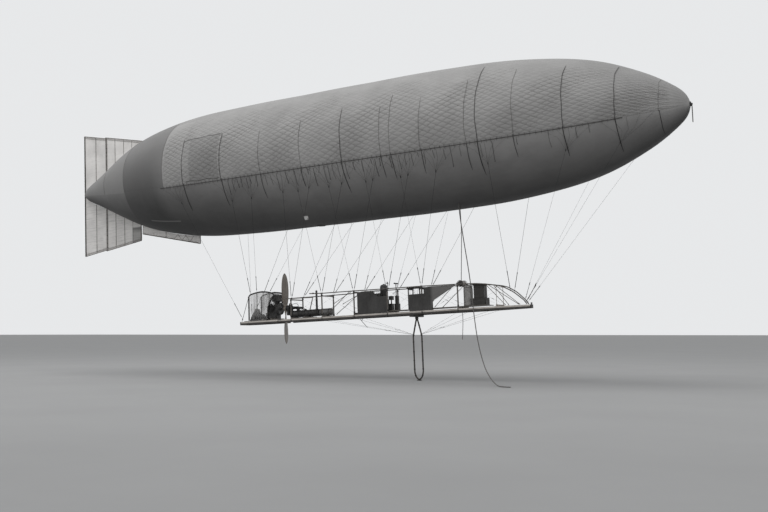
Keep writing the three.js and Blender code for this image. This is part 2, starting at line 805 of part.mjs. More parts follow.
const frameTies = [true, true, true, false, false, false, true];
frameTies.forEach((tie, i) => {
  const frame = makeFrame(firstFrame + i * bay, tie);
  add(girder, `frame_${i + 1}`, i ? frame : frame.add(makeLowRail()), 'ash');
});
for (const [name, side] of sides) {
  const mirror = (plan) => plan.map(([x, y]) => [x, side * y]);
  const bracket = side < 0 ? [
    tube([vec(300, -girderHalf, 15), vec(372, -girderHalf, -93), vec(583, -girderHalf, -318)], 9),
    tube([vec(467, -girderHalf, 15), vec(372, -girderHalf, -93)], 9),
  ] : [];
  add(girder, `beam_${name}`, join(timber(mirror(beamPlan), beam.width, 0, beam.depth), ...bracket), 'ash');
  add(girder, `boom_${name}`, makeBoom(side), 'ash');
  add(girder, `stern_beam_${name}`, timber(mirror(sternPlan), beam.width, 0, beam.depth), 'ash');
  add(girder, `stern_frame_${name}`, makeSternFrame(side), 'iron');
  add(girder, `stern_screen_${name}`, makeScreen(side), 'gauze');
  add(girder, `side_cloth_rear_${name}`, makeCloth(clothOutlines[name].rear, side), 'canvas');
  add(girder, `side_cloth_front_${name}`, makeCloth(clothOutlines[name].front, side), 'canvas');
}
add(girder, 'bow_block', join(
  block(6000 + seat, 6040, -78, 78, 0, beam.depth),
  block(6004, 6036, -14, 14, beam.depth - 10, 172),
  bar('y', -60, 60, [6020, 150], 12, 12),
), 'darkWood');
add(girder, 'stern_block', block(-4520, -4480 - seat, -280, 280, 0, beam.depth), 'darkWood');
add(girder, 'floor_boards', block(60, 4700, -300, 300, bearerTop + seat, floorTop), 'ash');
add(girder, 'stern_deck', block(-4350, -3590, -270, 270, bearerBase, bearerBase + 20), 'ash');
add(girder, 'stern_case', makeSternCase(), 'iron');
add(girder, 'engine_bearer_rear', block(-3515, -3455, -375, 375, bearerBase, bearerTop + 10), 'ash');
add(girder, 'engine_bearer_front', block(-3175, -3115, -375, 375, bearerBase, bearerTop + 10), 'ash');
add(girder, 'engine', makeEngine(), 'iron');
add(girder, 'tank_cradle', block(-1830, -1780, -385, 385, bearerBase, bearerTop), 'ash');
add(girder, 'tank_rear', makeRearTank(), 'tankMetal');
add(girder, 'tank_front', makeTank(-1395, -930, 120, 42), 'tankMetal');
add(girder, 'seat_rear', makeSeat(330, 760, 600), 'darkWood');
add(girder, 'seat_pilot', makeSeat(1960, 2440, 868), 'darkWood');
add(girder, 'upright_case', makeUprightCase(), 'iron');
add(girder, 'control_case', makeControlCase(), 'darkWood');
add(girder, 'control_lever', join(
  bar('z', 640 + seat, 1040, [1480, 0], 13, 12),
  bar('y', -120, 120, [1480, 1045], 16, 12),
), 'iron');
add(girder, 'canvas_column', bar('z', floorTop + seat, 800, [3985, 0], 150, 24), 'paleCanvas');
add(girder, 'instrument_box', join(
  block(4160, 4620, -150, 150, floorTop + seat, 400),
  block(4225, 4555, -135, 135, 380, 800),
  block(4195, 4585, -150, 150, 790, 822),
), 'darkWood');
add(girder, 'rope_drum', makeDrum(), 'darkWood');
add(girder, 'skid_bracket', block(2120, 2240, -385, 385, -60, -seat), 'darkWood');
add(girder, 'skid', makeSkid(), 'darkWood');

// The bearing's cast arm runs back from the first frame to the propeller's hub.
const bearingX = firstFrame;
const bearingHalf = girderHalf - post.across / 2 - seat;
add(girder, 'shaft_bearing', join(
  block(bearingX - 16, bearingX + 16, -bearingHalf, bearingHalf, 450, 530),
  bar('x', -2700, bearingX + 35, [0, shaftHeight], 48),
  bar('x', -2705, -2590, [0, shaftHeight], 105, 20),
  block(-2690, -2600, -95, 95, 250, shaftHeight),
  tube([vec(-2645, 60, 300), vec(-2630, 170, 360), vec(-2625, 185, 520), vec(-2640, 120, 640),
    vec(-2645, 20, 640), vec(-2645, 0, 560)], 20, 8),
).subtract(toSolid(bar('x', -2800, -2200, [0, shaftHeight], shaftRadius + 0.6))), 'iron');
add(rotor, 'propeller', makePropeller(), 'darkWood');
add(rotor, 'propeller_shaft', bar('x', -265 + seat + 0.2, 515, [0, 0], shaftRadius), 'iron');
add(rotor, 'flywheel', join(bar('x', -235, -185, [0, 0], 205, 32)).subtract(
  toSolid(bar('x', -300, -100, [0, 0], shaftRadius + 0.6))), 'iron');

add(airship, 'trail_rope', toSolid(tube(trailRope, trailRadius, 8)).subtract(clearHull), 'rope');
add(airship, 'drop_line', tube(dropLine, 9, 8), 'rope');
add(airship, 'drum_rope', toSolid(tube(drumRope, 11, 8)).subtract(clearHull).subtract(
  toSolid(bar('y', -145, 145, [drum.x, drum.height - girderDrop], drum.barrel + 2 * seat))), 'rope');
add(airship, 'nose_strop', tube(noseStrop, 14, 8), 'rope');

export default airship;
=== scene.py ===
# A small pressure airship: fabric hull, tail fins, and an open girder slung below on stays.
# Metres, +X to the nose, +Y to port, +Z up, origin on the hull's axis, as in the CAD frame.
import math

import bmesh
import bpy
import numpy as np
from mathutils import Matrix, Vector


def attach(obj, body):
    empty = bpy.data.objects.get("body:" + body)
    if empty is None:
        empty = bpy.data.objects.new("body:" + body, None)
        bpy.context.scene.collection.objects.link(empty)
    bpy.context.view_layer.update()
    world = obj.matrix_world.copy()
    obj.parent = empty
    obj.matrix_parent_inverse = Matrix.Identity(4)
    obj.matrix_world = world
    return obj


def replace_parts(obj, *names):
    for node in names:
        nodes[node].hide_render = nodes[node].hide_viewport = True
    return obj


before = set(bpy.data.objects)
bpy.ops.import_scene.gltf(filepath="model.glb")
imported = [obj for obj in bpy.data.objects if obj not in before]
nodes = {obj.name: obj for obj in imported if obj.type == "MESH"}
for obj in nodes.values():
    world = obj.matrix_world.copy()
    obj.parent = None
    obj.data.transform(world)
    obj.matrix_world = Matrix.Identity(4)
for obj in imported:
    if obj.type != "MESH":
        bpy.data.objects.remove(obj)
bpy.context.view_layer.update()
random = np.random.default_rng(1909)
print("frame loaded:", len(nodes), "nodes")


# shapes: a shape is (points, [face arrays]), worked out as whole arrays

def gridFaces(rows, columns, closed=True):
    # four-cornered faces between neighbouring rows and columns of a grid of points
    i, j = np.meshgrid(np.arange(rows - 1), np.arange(columns if closed else columns - 1), indexing="ij")
    k = (j + 1) % columns
    corners = [i * columns + j, i * columns + k, (i + 1) * columns + k, (i + 1) * columns + j]
    return np.stack(corners, -1).reshape(-1, 4)


def merged(*shapes):
    # several shapes as one, with the face numbers moved on
    points = np.vstack([s[0] for s in shapes])
    starts = np.cumsum([0] + [len(s[0]) for s in shapes[:-1]])
    return points, [np.asarray(f) + start for s, start in zip(shapes, starts) for f in s[1]]


def moved(shape, offset):
    return shape[0] + np.asarray(offset, float), shape[1]


def mirrored(shape):
    # the same shape on the other side of the middle plane, with its faces turned to look outward
    return shape[0] * np.array([1.0, -1.0, 1.0]), [np.asarray(f)[:, ::-1] for f in shape[1]]


def unit(v):
    return v / np.maximum(np.linalg.norm(v, axis=-1, keepdims=True), 1e-12)


def resampled(points, count):
    # a smooth line through the points, evenly spaced along its length (Catmull-Rom, then by length)
    p = np.asarray(points, float)
    padded = np.vstack([2 * p[0] - p[1], p, 2 * p[-1] - p[-2]])
    t = np.linspace(0, len(p) - 1, max(40 * (len(p) - 1), 200))
    k = np.minimum(t.astype(int), len(p) - 2)
    f = (t - k)[:, None]
    a, b, c, d = padded[k], padded[k + 1], padded[k + 2], padded[k + 3]
    double = 2 * b + (c - a) * f + (2 * a - 5 * b + 4 * c - d) * f ** 2 + (3 * b - a - 3 * c + d) * f ** 3
    line = 0.5 * double
    length = np.concatenate([[0], np.cumsum(np.linalg.norm(np.diff(line, axis=0), axis=1))])
    at = np.linspace(0, length[-1], count)
    return np.stack([np.interp(at, length, line[:, i]) for i in range(3)], -1)


def frames(path, hint):
    # direction along a path and two directions across it, the first as square as it can be to the hint
    p = np.asarray(path, float)
    ahead = unit(np.gradient(p, axis=0))
    across = unit(np.cross(ahead, np.broadcast_to(np.asarray(hint, float), p.shape)))
    return ahead, across, np.cross(ahead, across)


def swept(path, section, hint=(0.31, 0.52, 0.79), scale=None):
    # a closed section, [across, other] rows, carried along a path; scale is given per point
    p = np.asarray(path, float)
    section = np.asarray(section, float)
    _, across, other = frames(p, hint)
    scale = np.ones(len(p)) if scale is None else np.asarray(scale, float)
    u, v = section[None, :, :1], section[None, :, 1:]
    rings = p[:, None, :] + scale[:, None, None] * (u * across[:, None, :] + v * other[:, None, :])
    return rings.reshape(-1, 3), tubeFaces(len(p), len(section))


def tubeFaces(rows, sides):
    # faces of a tube of point rings, with both ends closed
    last = (rows - 1) * sides
    return [gridFaces(rows, sides)[:, ::-1], np.arange(sides)[None, :], last + np.arange(sides)[None, ::-1]]


def ring(radius, sides):
    turn = 2 * np.pi * (np.arange(sides) + 0.5) / sides
    return np.stack([radius * np.cos(turn), radius * np.sin(turn)], -1)


def rod(a, b, radius, sides=8):
    return swept(np.array([a, b], float), ring(radius, sides))


def box(low, high):
    x0, y0, z0 = low
    x1, y1, z1 = high
    points = np.array([[x, y, z] for z in (z0, z1) for y in (y0, y1) for x in (x0, x1)], float)
    faces = np.array([[0, 2, 3, 1], [4, 5, 7, 6], [0, 1, 5, 4], [2, 6, 7, 3], [0, 4, 6, 2], [1, 3, 7, 5]])
    return points, [faces]


def lathe(profile, start, direction, sides=24):
    # [distance along, radius] rows turned about a line
    profile = np.asarray(profile, float)
    direction = unit(np.asarray(direction, float))
    across = unit(np.cross(direction, [0.31, 0.52, 0.79]))
    other = np.cross(direction, across)
    turn = 2 * np.pi * np.arange(sides) / sides
    rim = np.cos(turn)[:, None] * across + np.sin(turn)[:, None] * other
    points = np.asarray(start, float) + profile[:, None, :1] * direction + profile[:, None, 1:] * rim[None]
    return points.reshape(-1, 3), tubeFaces(len(profile), sides)


def flatSection(w, h):
    # the section of a strip, from half its width and half its thickness
    return [(-w, -h), (w, -h), (w, h), (-w, h)]


def bead(foot, top, inner, outer):
    # the profile of a raised ring: half its length at the foot and at the top, and both radii
    return [(-foot, inner), (-top, outer), (top, outer), (foot, inner)]


def outward(shape):
    # turns the faces round where the closed shape's volume comes out negative
    points, faces = shape
    total = 0.0
    for f in faces:
        f = np.asarray(f)
        for k in range(1, f.shape[1] - 1):
            crossed = np.cross(points[f[:, k]], points[f[:, k + 1]])
            total += np.einsum("ij,ij->i", points[f[:, 0]], crossed).sum()
    return shape if total > 0 else (points, [np.asarray(f)[:, ::-1] for f in faces])


def makePiece(name, shape, body, material, smooth=True, values=None, uv=None):
    # one mesh object at the origin; values are numbers per point, uv two numbers per point
    points, faces = shape
    mesh = bpy.data.meshes.new(name)
    mesh.from_pydata(np.asarray(points, float).tolist(), [],
                     [f for a in faces for f in np.asarray(a).tolist()])
    mesh.validate()
    for key, numbers in (values or {}).items():
        attribute = mesh.attributes.new(key, "FLOAT", "POINT")
        attribute.data.foreach_set("value", np.asarray(numbers, np.float32))
    if uv is not None:
        layer = mesh.uv_layers.new(name="along")
        corner = np.zeros(len(mesh.loops), np.int32)
        mesh.loops.foreach_get("vertex_index", corner)
        layer.data.foreach_set("uv", np.asarray(uv, np.float32)[corner].ravel())
    mesh.polygons.foreach_set("use_smooth", np.full(len(mesh.polygons), smooth))
    if smooth:
        mesh.set_sharp_from_angle(angle=math.radians(48))
    mesh.update()
    piece = bpy.data.objects.new(name, mesh)
    bpy.context.scene.collection.objects.link(piece)
    mesh.materials.append(material)
    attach(piece, body)
    return piece


def bevelled(piece, width, segments=1, angle=40):
    cut = piece.modifiers.new("bevel", "BEVEL")
    cut.width = width
    cut.segments = segments
    cut.limit_method = "ANGLE"
    cut.angle_limit = math.radians(angle)
    return piece


# materials

def srgb(value, warmth=0.0):
    # a grey from 0 to 255 as the eye sees it, as linear red, green and blue, a little warm
    v = value / 255
    linear = v / 12.92 if v <= 0.04045 else ((v + 0.055) / 1.055) ** 2.4
    return (linear * (1 + warmth), linear, linear * (1 - warmth), 1.0)


class Tree:
    # a thin wrapper for building a node tree line by line
    def __init__(self, tree):
        self.tree = tree

    def add(self, kind, inputs=None, **settings):
        n = self.tree.nodes.new("ShaderNode" + kind)
        for key, value in settings.items():
            setattr(n, key, value)
        for key, value in (inputs or {}).items():
            socket = n.inputs[key]
            if isinstance(value, bpy.types.NodeSocket):
                self.tree.links.new(value, socket)
            else:
                socket.default_value = value
        return n

    def math(self, operation, a, b=0.0, c=0.0):
        return self.add("Math", {0: a, 1: b, 2: c}, operation=operation).outputs[0]

    def mix(self, factor, a, b):
        n = self.add("Mix", {"Factor": factor}, data_type="RGBA")
        for key, value in ((6, a), (7, b)):
            if isinstance(value, bpy.types.NodeSocket):
                self.tree.links.new(value, n.inputs[key])
            else:
                n.inputs[key].default_value = value
        return n.outputs[2]

    def stretched(self, vector, factors):
        return self.add("VectorMath", {0: vector, 1: factors}, operation="MULTIPLY").outputs[0]

    def ramp(self, value, low, high, to=(0.0, 1.0)):
        # a straight ramp between two values, held at its ends
        inputs = {"Value": value, "From Min": low, "From Max": high, "To Min": to[0], "To Max": to[1]}
        return self.add("MapRange", inputs, clamp=True).outputs["Result"]

    def noise(self, vector, scale, detail=4.0, rough=0.55, distortion=0.0):
        inputs = {"Vector": vector, "Scale": scale, "Detail": detail, "Roughness": rough,
                  "Distortion": distortion}
        return self.add("TexNoise", inputs).outputs["Fac"]


def newGroup(name, inputs, outputs):
    group = bpy.data.node_groups.new(name, "ShaderNodeTree")
    for key, kind, value in inputs:
        socket = group.interface.new_socket(key, in_out="INPUT", socket_type="NodeSocket" + kind)
        if value is not None:
            socket.default_value = value
    for key, kind in outputs:
        group.interface.new_socket(key, in_out="OUTPUT", socket_type="NodeSocket" + kind)
    tree = Tree(group)
    start = group.nodes.new("NodeGroupInput")
    end = group.nodes.new("NodeGroupOutput")
    return group, tree, start.outputs, end.inputs


def makeWeave():
    # threads both ways as two crossed waves, with slubs and soft stains from noise
    group, t, given, out = newGroup("weave", [("Vector", "Vector", None), ("Threads", "Float", 400.0),
                                              ("Stain Scale", "Float", 2.0)],
                                    [("Height", "Float"), ("Stain", "Float"), ("Slub", "Float")])
    parts = t.add("SeparateXYZ", {0: given["Vector"]})
    across = t.math("ADD", parts.outputs[0], parts.outputs[1])
    upright = t.math("SUBTRACT", parts.outputs[2], parts.outputs[1])
    warp, weft = (t.math("SINE", t.math("MULTIPLY", way, given["Threads"])) for way in (across, upright))
    slub = t.noise(given["Vector"], 38.0, 3.0, 0.6)
    stain = t.noise(given["Vector"], given["Stain Scale"], 6.0, 0.62, 0.3)
    t.tree.links.new(t.math("MULTIPLY_ADD", t.math("MULTIPLY", warp, weft), 0.5, slub), out["Height"])
    t.tree.links.new(stain, out["Stain"])
    t.tree.links.new(slub, out["Slub"])
    return group


def makeGrain():
    # long fibres of sawn wood: noise drawn out along one axis, with darker pores
    group, t, given, out = newGroup("grain", [("Vector", "Vector", None), ("Scale", "Float", 12.0),
                                              ("Along", "Vector", (0.06, 1.0, 1.0))],
                                    [("Tone", "Float"), ("Pores", "Float"), ("Height", "Float")])
    drawn = t.stretched(given["Vector"], given["Along"])
    broad = t.noise(drawn, given["Scale"], 5.0, 0.6, 0.8)
    fine = t.noise(drawn, t.math("MULTIPLY", given["Scale"], 9.0), 3.0, 0.7)
    pores = t.ramp(fine, 0.56, 0.7)
    t.tree.links.new(broad, out["Tone"])
    t.tree.links.new(pores, out["Pores"])
    t.tree.links.new(t.math("MULTIPLY_ADD", pores, -0.6, broad), out["Height"])
    return group


def makeWear():
    # handling and weather: broad grime, and small bare spots and scratches
    group, t, given, out = newGroup("wear", [("Vector", "Vector", None), ("Scale", "Float", 6.0)],
                                    [("Grime", "Float"), ("Spots", "Float")])
    grime = t.ramp(t.noise(given["Vector"], given["Scale"], 7.0, 0.65, 0.4), 0.38, 0.68)
    spots = t.ramp(t.noise(given["Vector"], t.math("MULTIPLY", given["Scale"], 7.0), 4.0, 0.7), 0.6, 0.72)
    t.tree.links.new(grime, out["Grime"])
    t.tree.links.new(spots, out["Spots"])
    return group


groups = {"weave": makeWeave(), "grain": makeGrain(), "wear": makeWear()}


def useGroup(t, name, inputs):
    n = t.add("Group", node_tree=groups[name])
    for key, value in inputs.items():
        if isinstance(value, bpy.types.NodeSocket):
            t.tree.links.new(value, n.inputs[key])
        else:
            n.inputs[key].default_value = value
    return n.outputs


def startMaterial(name, metallic=0.0, sheen=0.0, coat=0.0):
    material = bpy.data.materials.new(name)
    material.use_nodes = True
    material.node_tree.nodes.clear()
    t = Tree(material.node_tree)
    shader = t.add("BsdfPrincipled", {"Metallic": metallic, "Sheen Weight": sheen, "Coat Weight": coat})
    end = t.add("OutputMaterial", {"Surface": shader.outputs[0]})
    end.target = "ALL"
    return material, t, shader, t.add("TexCoord").outputs["Object"]


def finishMaterial(t, shader, colour, roughness, height=None, strength=0.3, distance=0.002):
    t.tree.links.new(colour, shader.inputs["Base Color"])
    t.tree.links.new(roughness, shader.inputs["Roughness"])
    if height is not None:
        bump = t.add("Bump", {"Height": height, "Strength": strength, "Distance": distance})
        t.tree.links.new(bump.outputs[0], shader.inputs["Normal"])


def makeCloth(name, light, dark, threads=900.0, stainScale=1.6, slubs=0.35, rough=0.85, sheen=0.15,
              warmth=0.03):
    # plain cloth: two greys mixed by stains and slubs, with a woven bump
    material, t, shader, place = startMaterial(name, sheen=sheen)
    weave = useGroup(t, "weave", {"Vector": place, "Threads": threads, "Stain Scale": stainScale})
    colour = t.mix(t.ramp(weave["Stain"], 0.35, 0.7), srgb(light, warmth), srgb(dark, warmth))
    colour = t.mix(t.math("MULTIPLY", weave["Slub"], slubs), colour, srgb(dark * 0.8, warmth))
    roughness = t.ramp(weave["Stain"], 0.2, 0.8, (rough - 0.08, rough + 0.1))
    finishMaterial(t, shader, colour, roughness, weave["Height"], 0.25, 0.001)
    return material


def makeWood(name, light, dark, along=(0.06, 1.0, 1.0), scale=14.0, rough=0.5, coat=0.1, warmth=0.12):
    # varnished wood: fibres along one axis, darker pores, grime and rubbed spots
    material, t, shader, place = startMaterial(name, coat=coat)
    grain = useGroup(t, "grain", {"Vector": place, "Scale": scale, "Along": along})
    wear = useGroup(t, "wear", {"Vector": place, "Scale": 5.0})
    colour = t.mix(t.ramp(grain["Tone"], 0.3, 0.7), srgb(light, warmth), srgb(dark, warmth))
    colour = t.mix(t.math("MULTIPLY", grain["Pores"], 0.5), colour, srgb(dark * 0.6, warmth))
    colour = t.mix(t.math("MULTIPLY", wear["Grime"], 0.35), colour, srgb(dark * 0.5, warmth))
    colour = t.mix(t.math("MULTIPLY", wear["Spots"], 0.4), colour, srgb(min(light * 1.25, 250), warmth))
    roughness = t.ramp(wear["Grime"], 0, 1, (rough, rough + 0.25))
    finishMaterial(t, shader, colour, roughness, grain["Height"], 0.3, 0.0012)
    return material


def makeMetal(name, light, dark, metallic=0.7, rough=0.45, scale=7.0, warmth=0.02):
    # blackened or tinned metal: grime in patches, bare scratched spots, dented bump
    material, t, shader, place = startMaterial(name, metallic=metallic)
    wear = useGroup(t, "wear", {"Vector": place, "Scale": scale})
    dents = t.noise(place, 9.0, 3.0, 0.5)
    colour = t.mix(wear["Grime"], srgb(light, warmth), srgb(dark, warmth))
    colour = t.mix(t.math("MULTIPLY", wear["Spots"], 0.5), colour, srgb(min(light * 1.5, 250), warmth))
    roughness = t.ramp(wear["Grime"], 0, 1, (rough - 0.1, rough + 0.25))
    roughness = t.math("ADD", roughness, t.math("MULTIPLY", wear["Spots"], -0.1))
    height = t.math("MULTIPLY_ADD", dents, 0.8, t.math("MULTIPLY", wear["Spots"], -0.2))
    finishMaterial(t, shader, colour, roughness, height, 0.25, 0.002)
    return material


def makeRopeLook(name, light, dark, turns=22.0):
    # laid rope: strands as slanting stripes on the piece's own map, [round, along]
    material, t, shader, place = startMaterial(name)
    uv = t.add("UVMap", uv_map="along").outputs[0]
    parts = t.add("SeparateXYZ", {0: uv})
    slant = t.math("MULTIPLY_ADD", parts.outputs[1], turns, t.math("MULTIPLY", parts.outputs[0], 3.0))
    strand = t.math("ABSOLUTE", t.math("SINE", t.math("MULTIPLY", slant, math.pi)))
    fuzz = t.noise(place, 160.0, 2.0)
    share = t.math("MULTIPLY_ADD", strand, 0.7, t.math("MULTIPLY", fuzz, 0.3))
    colour = t.mix(share, srgb(dark, 0.05), srgb(light, 0.05))
    roughness = t.ramp(fuzz, 0.2, 0.8, (0.8, 0.98))
    finishMaterial(t, shader, colour, roughness, t.math("MULTIPLY_ADD", fuzz, 0.3, strand), 0.6, 0.002)
    return material


def makeCordLook(name, light, dark):
    # thin twisted cord and wire: short dark and light flecks
    material, t, shader, place = startMaterial(name)
    fleck = t.noise(place, 120.0, 2.0, 0.7)
    colour = t.mix(t.ramp(fleck, 0.35, 0.65), srgb(dark, 0.04), srgb(light, 0.04))
    finishMaterial(t, shader, colour, t.ramp(fleck, 0.2, 0.8, (0.75, 0.95)), fleck, 0.4, 0.001)
    return material


def makeFinLook(name, light, dark):
    # doped cotton: soft stains, painted shade of faint level wrinkles that grows below the hull, and a
    # darker doubled corner with painted shadow of the hull darkest at its top
    material, t, shader, place = startMaterial(name, sheen=0.15)
    weave = useGroup(t, "weave", {"Vector": place, "Threads": 700.0, "Stain Scale": 1.1})
    parts = t.add("SeparateXYZ", {0: place}).outputs
    # painted shade of faint level wrinkles, stronger lower down below the hull
    wrinkleShade = t.ramp(t.noise(t.stretched(place, (0.9, 1.0, 11.0)), 1.7, 4.0, 0.65), 0.5, 0.72)
    wrinkleShade = t.math("MULTIPLY", wrinkleShade, t.ramp(parts[2], 1.6, -0.6, (0.08, 0.42)))
    colour = t.mix(t.ramp(weave["Stain"], 0.35, 0.7), srgb(light, 0.03), srgb(dark, 0.03))
    colour = t.mix(t.math("MULTIPLY", weave["Slub"], 0.2), colour, srgb(dark * 0.8, 0.03))
    colour = t.mix(wrinkleShade, colour, srgb(dark * 0.62, 0.03))
    # the doubled corner is darker, and painted hull shadow makes it darkest at its top
    corner = t.math("MULTIPLY", t.ramp(parts[0], -9.66, -9.60), t.ramp(parts[2], -1.46, -1.52))
    corner = t.math("MULTIPLY", corner, t.ramp(parts[2], -1.52, -1.70, (0.85, 0.5)))
    colour = t.mix(t.math("MULTIPLY", corner, t.ramp(parts[0], -9.16, -9.18)), colour, srgb(92, 0.03))
    roughness = t.ramp(weave["Stain"], 0.2, 0.8, (0.72, 0.9))
    finishMaterial(t, shader, colour, roughness, weave["Height"], 0.25, 0.001)
    return material


def makeSideCanvas():
    # dark proofed canvas, paler towards the thin corner that runs up to the rail
    material, t, shader, place = startMaterial("darkCanvas", sheen=0.1)
    weave = useGroup(t, "weave", {"Vector": place, "Threads": 520.0, "Stain Scale": 3.0})
    x = t.add("SeparateXYZ", {0: place}).outputs[0]
    colour = t.mix(t.ramp(weave["Stain"], 0.35, 0.7), srgb(72, 0.03), srgb(54, 0.03))
    colour = t.mix(t.math("MULTIPLY", t.ramp(x, 2.86, 2.98), 0.55), colour, srgb(140, 0.03))
    colour = t.mix(t.math("MULTIPLY", weave["Slub"], 0.3), colour, srgb(44, 0.03))
    roughness = t.ramp(weave["Stain"], 0.2, 0.8, (0.82, 0.98))
    finishMaterial(t, shader, colour, roughness, weave["Height"], 0.25, 0.001)
    return material


looks = {
    "fin": makeFinLook("finCloth", 236, 208),
    # the keel's cloth is made paler than the fins': painted light for the light that comes through the thin
    # cloth in the hull's shade
    "keel": makeFinLook("keelCloth", 250, 226),
    "finSpar": makeWood("finSpar", 112, 76, along=(1.0, 1.0, 0.06), rough=0.6),
    "ash": makeWood("ashTimber", 118, 88),
    "ashUpright": makeWood("ashUpright", 112, 80, along=(1.0, 1.0, 0.06)),
    "darkWood": makeWood("darkVarnish", 54, 34, scale=18.0, rough=0.5, coat=0.12),
    "iron": makeMetal("blackIron", 52, 30, metallic=0.3, rough=0.55),
    "paleTube": makeWood("paleTube", 168, 136, along=(1.0, 1.0, 0.06), rough=0.5),
    "ashAcross": makeWood("ashCrosspiece", 112, 82, along=(1.0, 0.06, 1.0)),
    "hoopWood": makeWood("hoopAsh", 78, 48, along=(1.0, 1.0, 0.06), scale=20.0, rough=0.5),
    "greyIron": makeMetal("castGrey", 84, 52, metallic=0.4, rough=0.55),
    "steel": makeMetal("turnedSteel", 140, 104, metallic=0.85, rough=0.35),
    "canvas": makeSideCanvas(),
    "paleCanvas": makeCloth("paleCanvas", 176, 140, threads=520.0, stainScale=3.0, rough=0.9),
    "cord": makeCordLook("tarredCord", 78, 44),
    "net": makeCordLook("netCord", 150, 122),
    "tape": makeCordLook("girthTape", 84, 64),
    "paleTape": makeCordLook("seamTape", 118, 92),
    "strap": makeCordLook("stayStrap", 60, 40),
    "hem": makeCordLook("clothHem", 84, 60),
    "wire": makeCordLook("bracingWire", 66, 46),
    "rope": makeRopeLook("tarredRope", 96, 48),
    "trailRope": makeRopeLook("longRope", 118, 66),
    "drumRope": makeRopeLook("drumHemp", 176, 122),
    "stay": makeCordLook("stayLine", 54, 32),
    "leg": makeCordLook("stayLeg", 86, 66),
}
print("materials ready")


# camera, floor and light

cameraPlace = {
    "position": (16.54, -28.10, -6.61),
    "right": (0.8737, 0.4848, -0.0392),
    "look": (-0.4795, 0.8720, 0.0984),
    "lens": 46.875,
}
cameraData = bpy.data.cameras.new("camera")
cameraData.lens = cameraPlace["lens"]
cameraData.sensor_width = 36.0
cameraData.clip_end = 2000.0
camera = bpy.data.objects.new("camera", cameraData)
bpy.context.scene.collection.objects.link(camera)
back = -Vector(cameraPlace["look"]).normalized()
right = Vector(cameraPlace["right"]).normalized()
upward = back.cross(right)
cameraTurn = Matrix((right, upward, back)).transposed().to_4x4()
camera.matrix_world = Matrix.Translation(cameraPlace["position"]) @ cameraTurn
bpy.context.scene.camera = camera

# the floor meets the landing hoop's foot, and is level while the airship floats 2.6 degrees nose-up
floorPlace = {"foot": (2.18, -7.452), "slope": -0.0449, "half": 700.0}


def floorHeight(x):
    return floorPlace["foot"][1] + floorPlace["slope"] * (x - floorPlace["foot"][0])


def makeFloor():
    s = floorPlace["half"]
    corners = [(x, y, floorHeight(x)) for x, y in ((-s, -s), (s, -s), (s, s), (-s, s))]
    mesh = bpy.data.meshes.new("floor")
    mesh.from_pydata(corners, [], [(0, 1, 2, 3)])
    floor = bpy.data.objects.new("floor", mesh)
    bpy.context.scene.collection.objects.link(floor)
    material, t, shader, place = startMaterial("paleFloor")
    speck = t.noise(place, 0.35, 5.0)
    finishMaterial(t, shader, t.mix(speck, srgb(150), srgb(142)), t.ramp(speck, 0, 1, (0.9, 1.0)))
    mesh.materials.append(material)


makeFloor()

world = bpy.data.worlds.new("studio")
bpy.context.scene.world = world
world.use_nodes = True
world.node_tree.nodes["Background"].inputs[0].default_value = (0.80, 0.81, 0.82, 1.0)
world.node_tree.nodes["Background"].inputs[1].default_value = 1.0


def addLight(name, position, target, size, power):
    data = bpy.data.lights.new(name, "AREA")
    data.shape = "RECTANGLE"
    data.size, data.size_y = size
    data.energy = power
    lamp = bpy.data.objects.new(name, data)
    bpy.context.scene.collection.objects.link(lamp)
    way = Vector(target) - Vector(position)
    lamp.matrix_world = Matrix.Translation(position) @ way.to_track_quat("-Z", "Y").to_matrix().to_4x4()


addLight("skyLight", (-2.0, -6.0, 22.0), (0.0, 0.0, 0.0), (34.0, 22.0), 4700.0)
bpy.context.scene.view_settings.view_transform = "Standard"
print("camera, floor and light set")


# free ropes

def ropeMap(count, sides, length):
    # the rope's own map: once round across, metres along
    v = np.repeat(np.linspace(0, length, count), sides)
    u = np.tile(np.arange(sides) / sides, count)
    return np.stack([u, v], -1)


def makeRope(name, points, radius, count, sides, look, **said):
    line = resampled(points, count)
    length = float(np.linalg.norm(np.diff(line, axis=0), axis=1).sum())
    piece = makePiece(name, swept(line, ring(radius, sides)), "airship", looks[look],
                      uv=ropeMap(count, sides, length))
    return piece


trailRope = {
    "points": [
        (4.060, -0.560, -2.108), (4.085, -0.560, -2.500), (4.150, -0.530, -3.200), (4.230, -0.480, -4.000),
        (4.290, -0.450, -4.700), (4.330, -0.455, -5.300), (4.400, -0.520, -5.800), (4.530, -0.680, -6.300),
        (4.730, -0.920, -6.780), (4.980, -1.230, -7.150), (5.270, -1.580, -7.400), (5.560, -1.960, -7.535),
        (5.790, -2.250, -7.592), (6.010, -2.430, -7.606), (6.230, -2.510, -7.616)],
    "radius": 0.014,
}
dropLine = {
    "points": [(3.930, -0.360, -5.4004), (3.928, -0.361, -5.700), (3.910, -0.368, -6.000),
               (3.890, -0.372, -6.240)],
    "radius": 0.009,
}
drumRope = {
    "points": [(3.998, -0.330, -2.158), (3.975, -0.270, -3.000), (3.850, -0.130, -4.100),
               (3.812, -0.090, -4.462)],
    "radius": 0.011,
}
noseStrop = {
    "points": [(11.036, 0, -0.0354), (11.036, 0, -0.200), (11.034, 0, -0.380), (11.032, 0, -0.520)],
    "radius": 0.014,
}
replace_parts(makeRope("trail_line", trailRope["points"], trailRope["radius"], 200, 10, "trailRope",
                     far_end="bare", stiffness="limp", lay="hanging"), "trail_rope")
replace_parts(makeRope("hanging_line", dropLine["points"], dropLine["radius"], 40, 8, "rope",
                     far_end="bare", stiffness="limp", lay="hanging"), "drop_line")
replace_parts(makeRope("drum_line", drumRope["points"], drumRope["radius"], 60, 8, "rope"), "drum_rope")
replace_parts(makeRope("nose_line", noseStrop["points"], noseStrop["radius"], 24, 8, "rope",
                     far_end="bare", stiffness="limp", lay="hanging"), "nose_strop")
print("ropes laid")


# hull

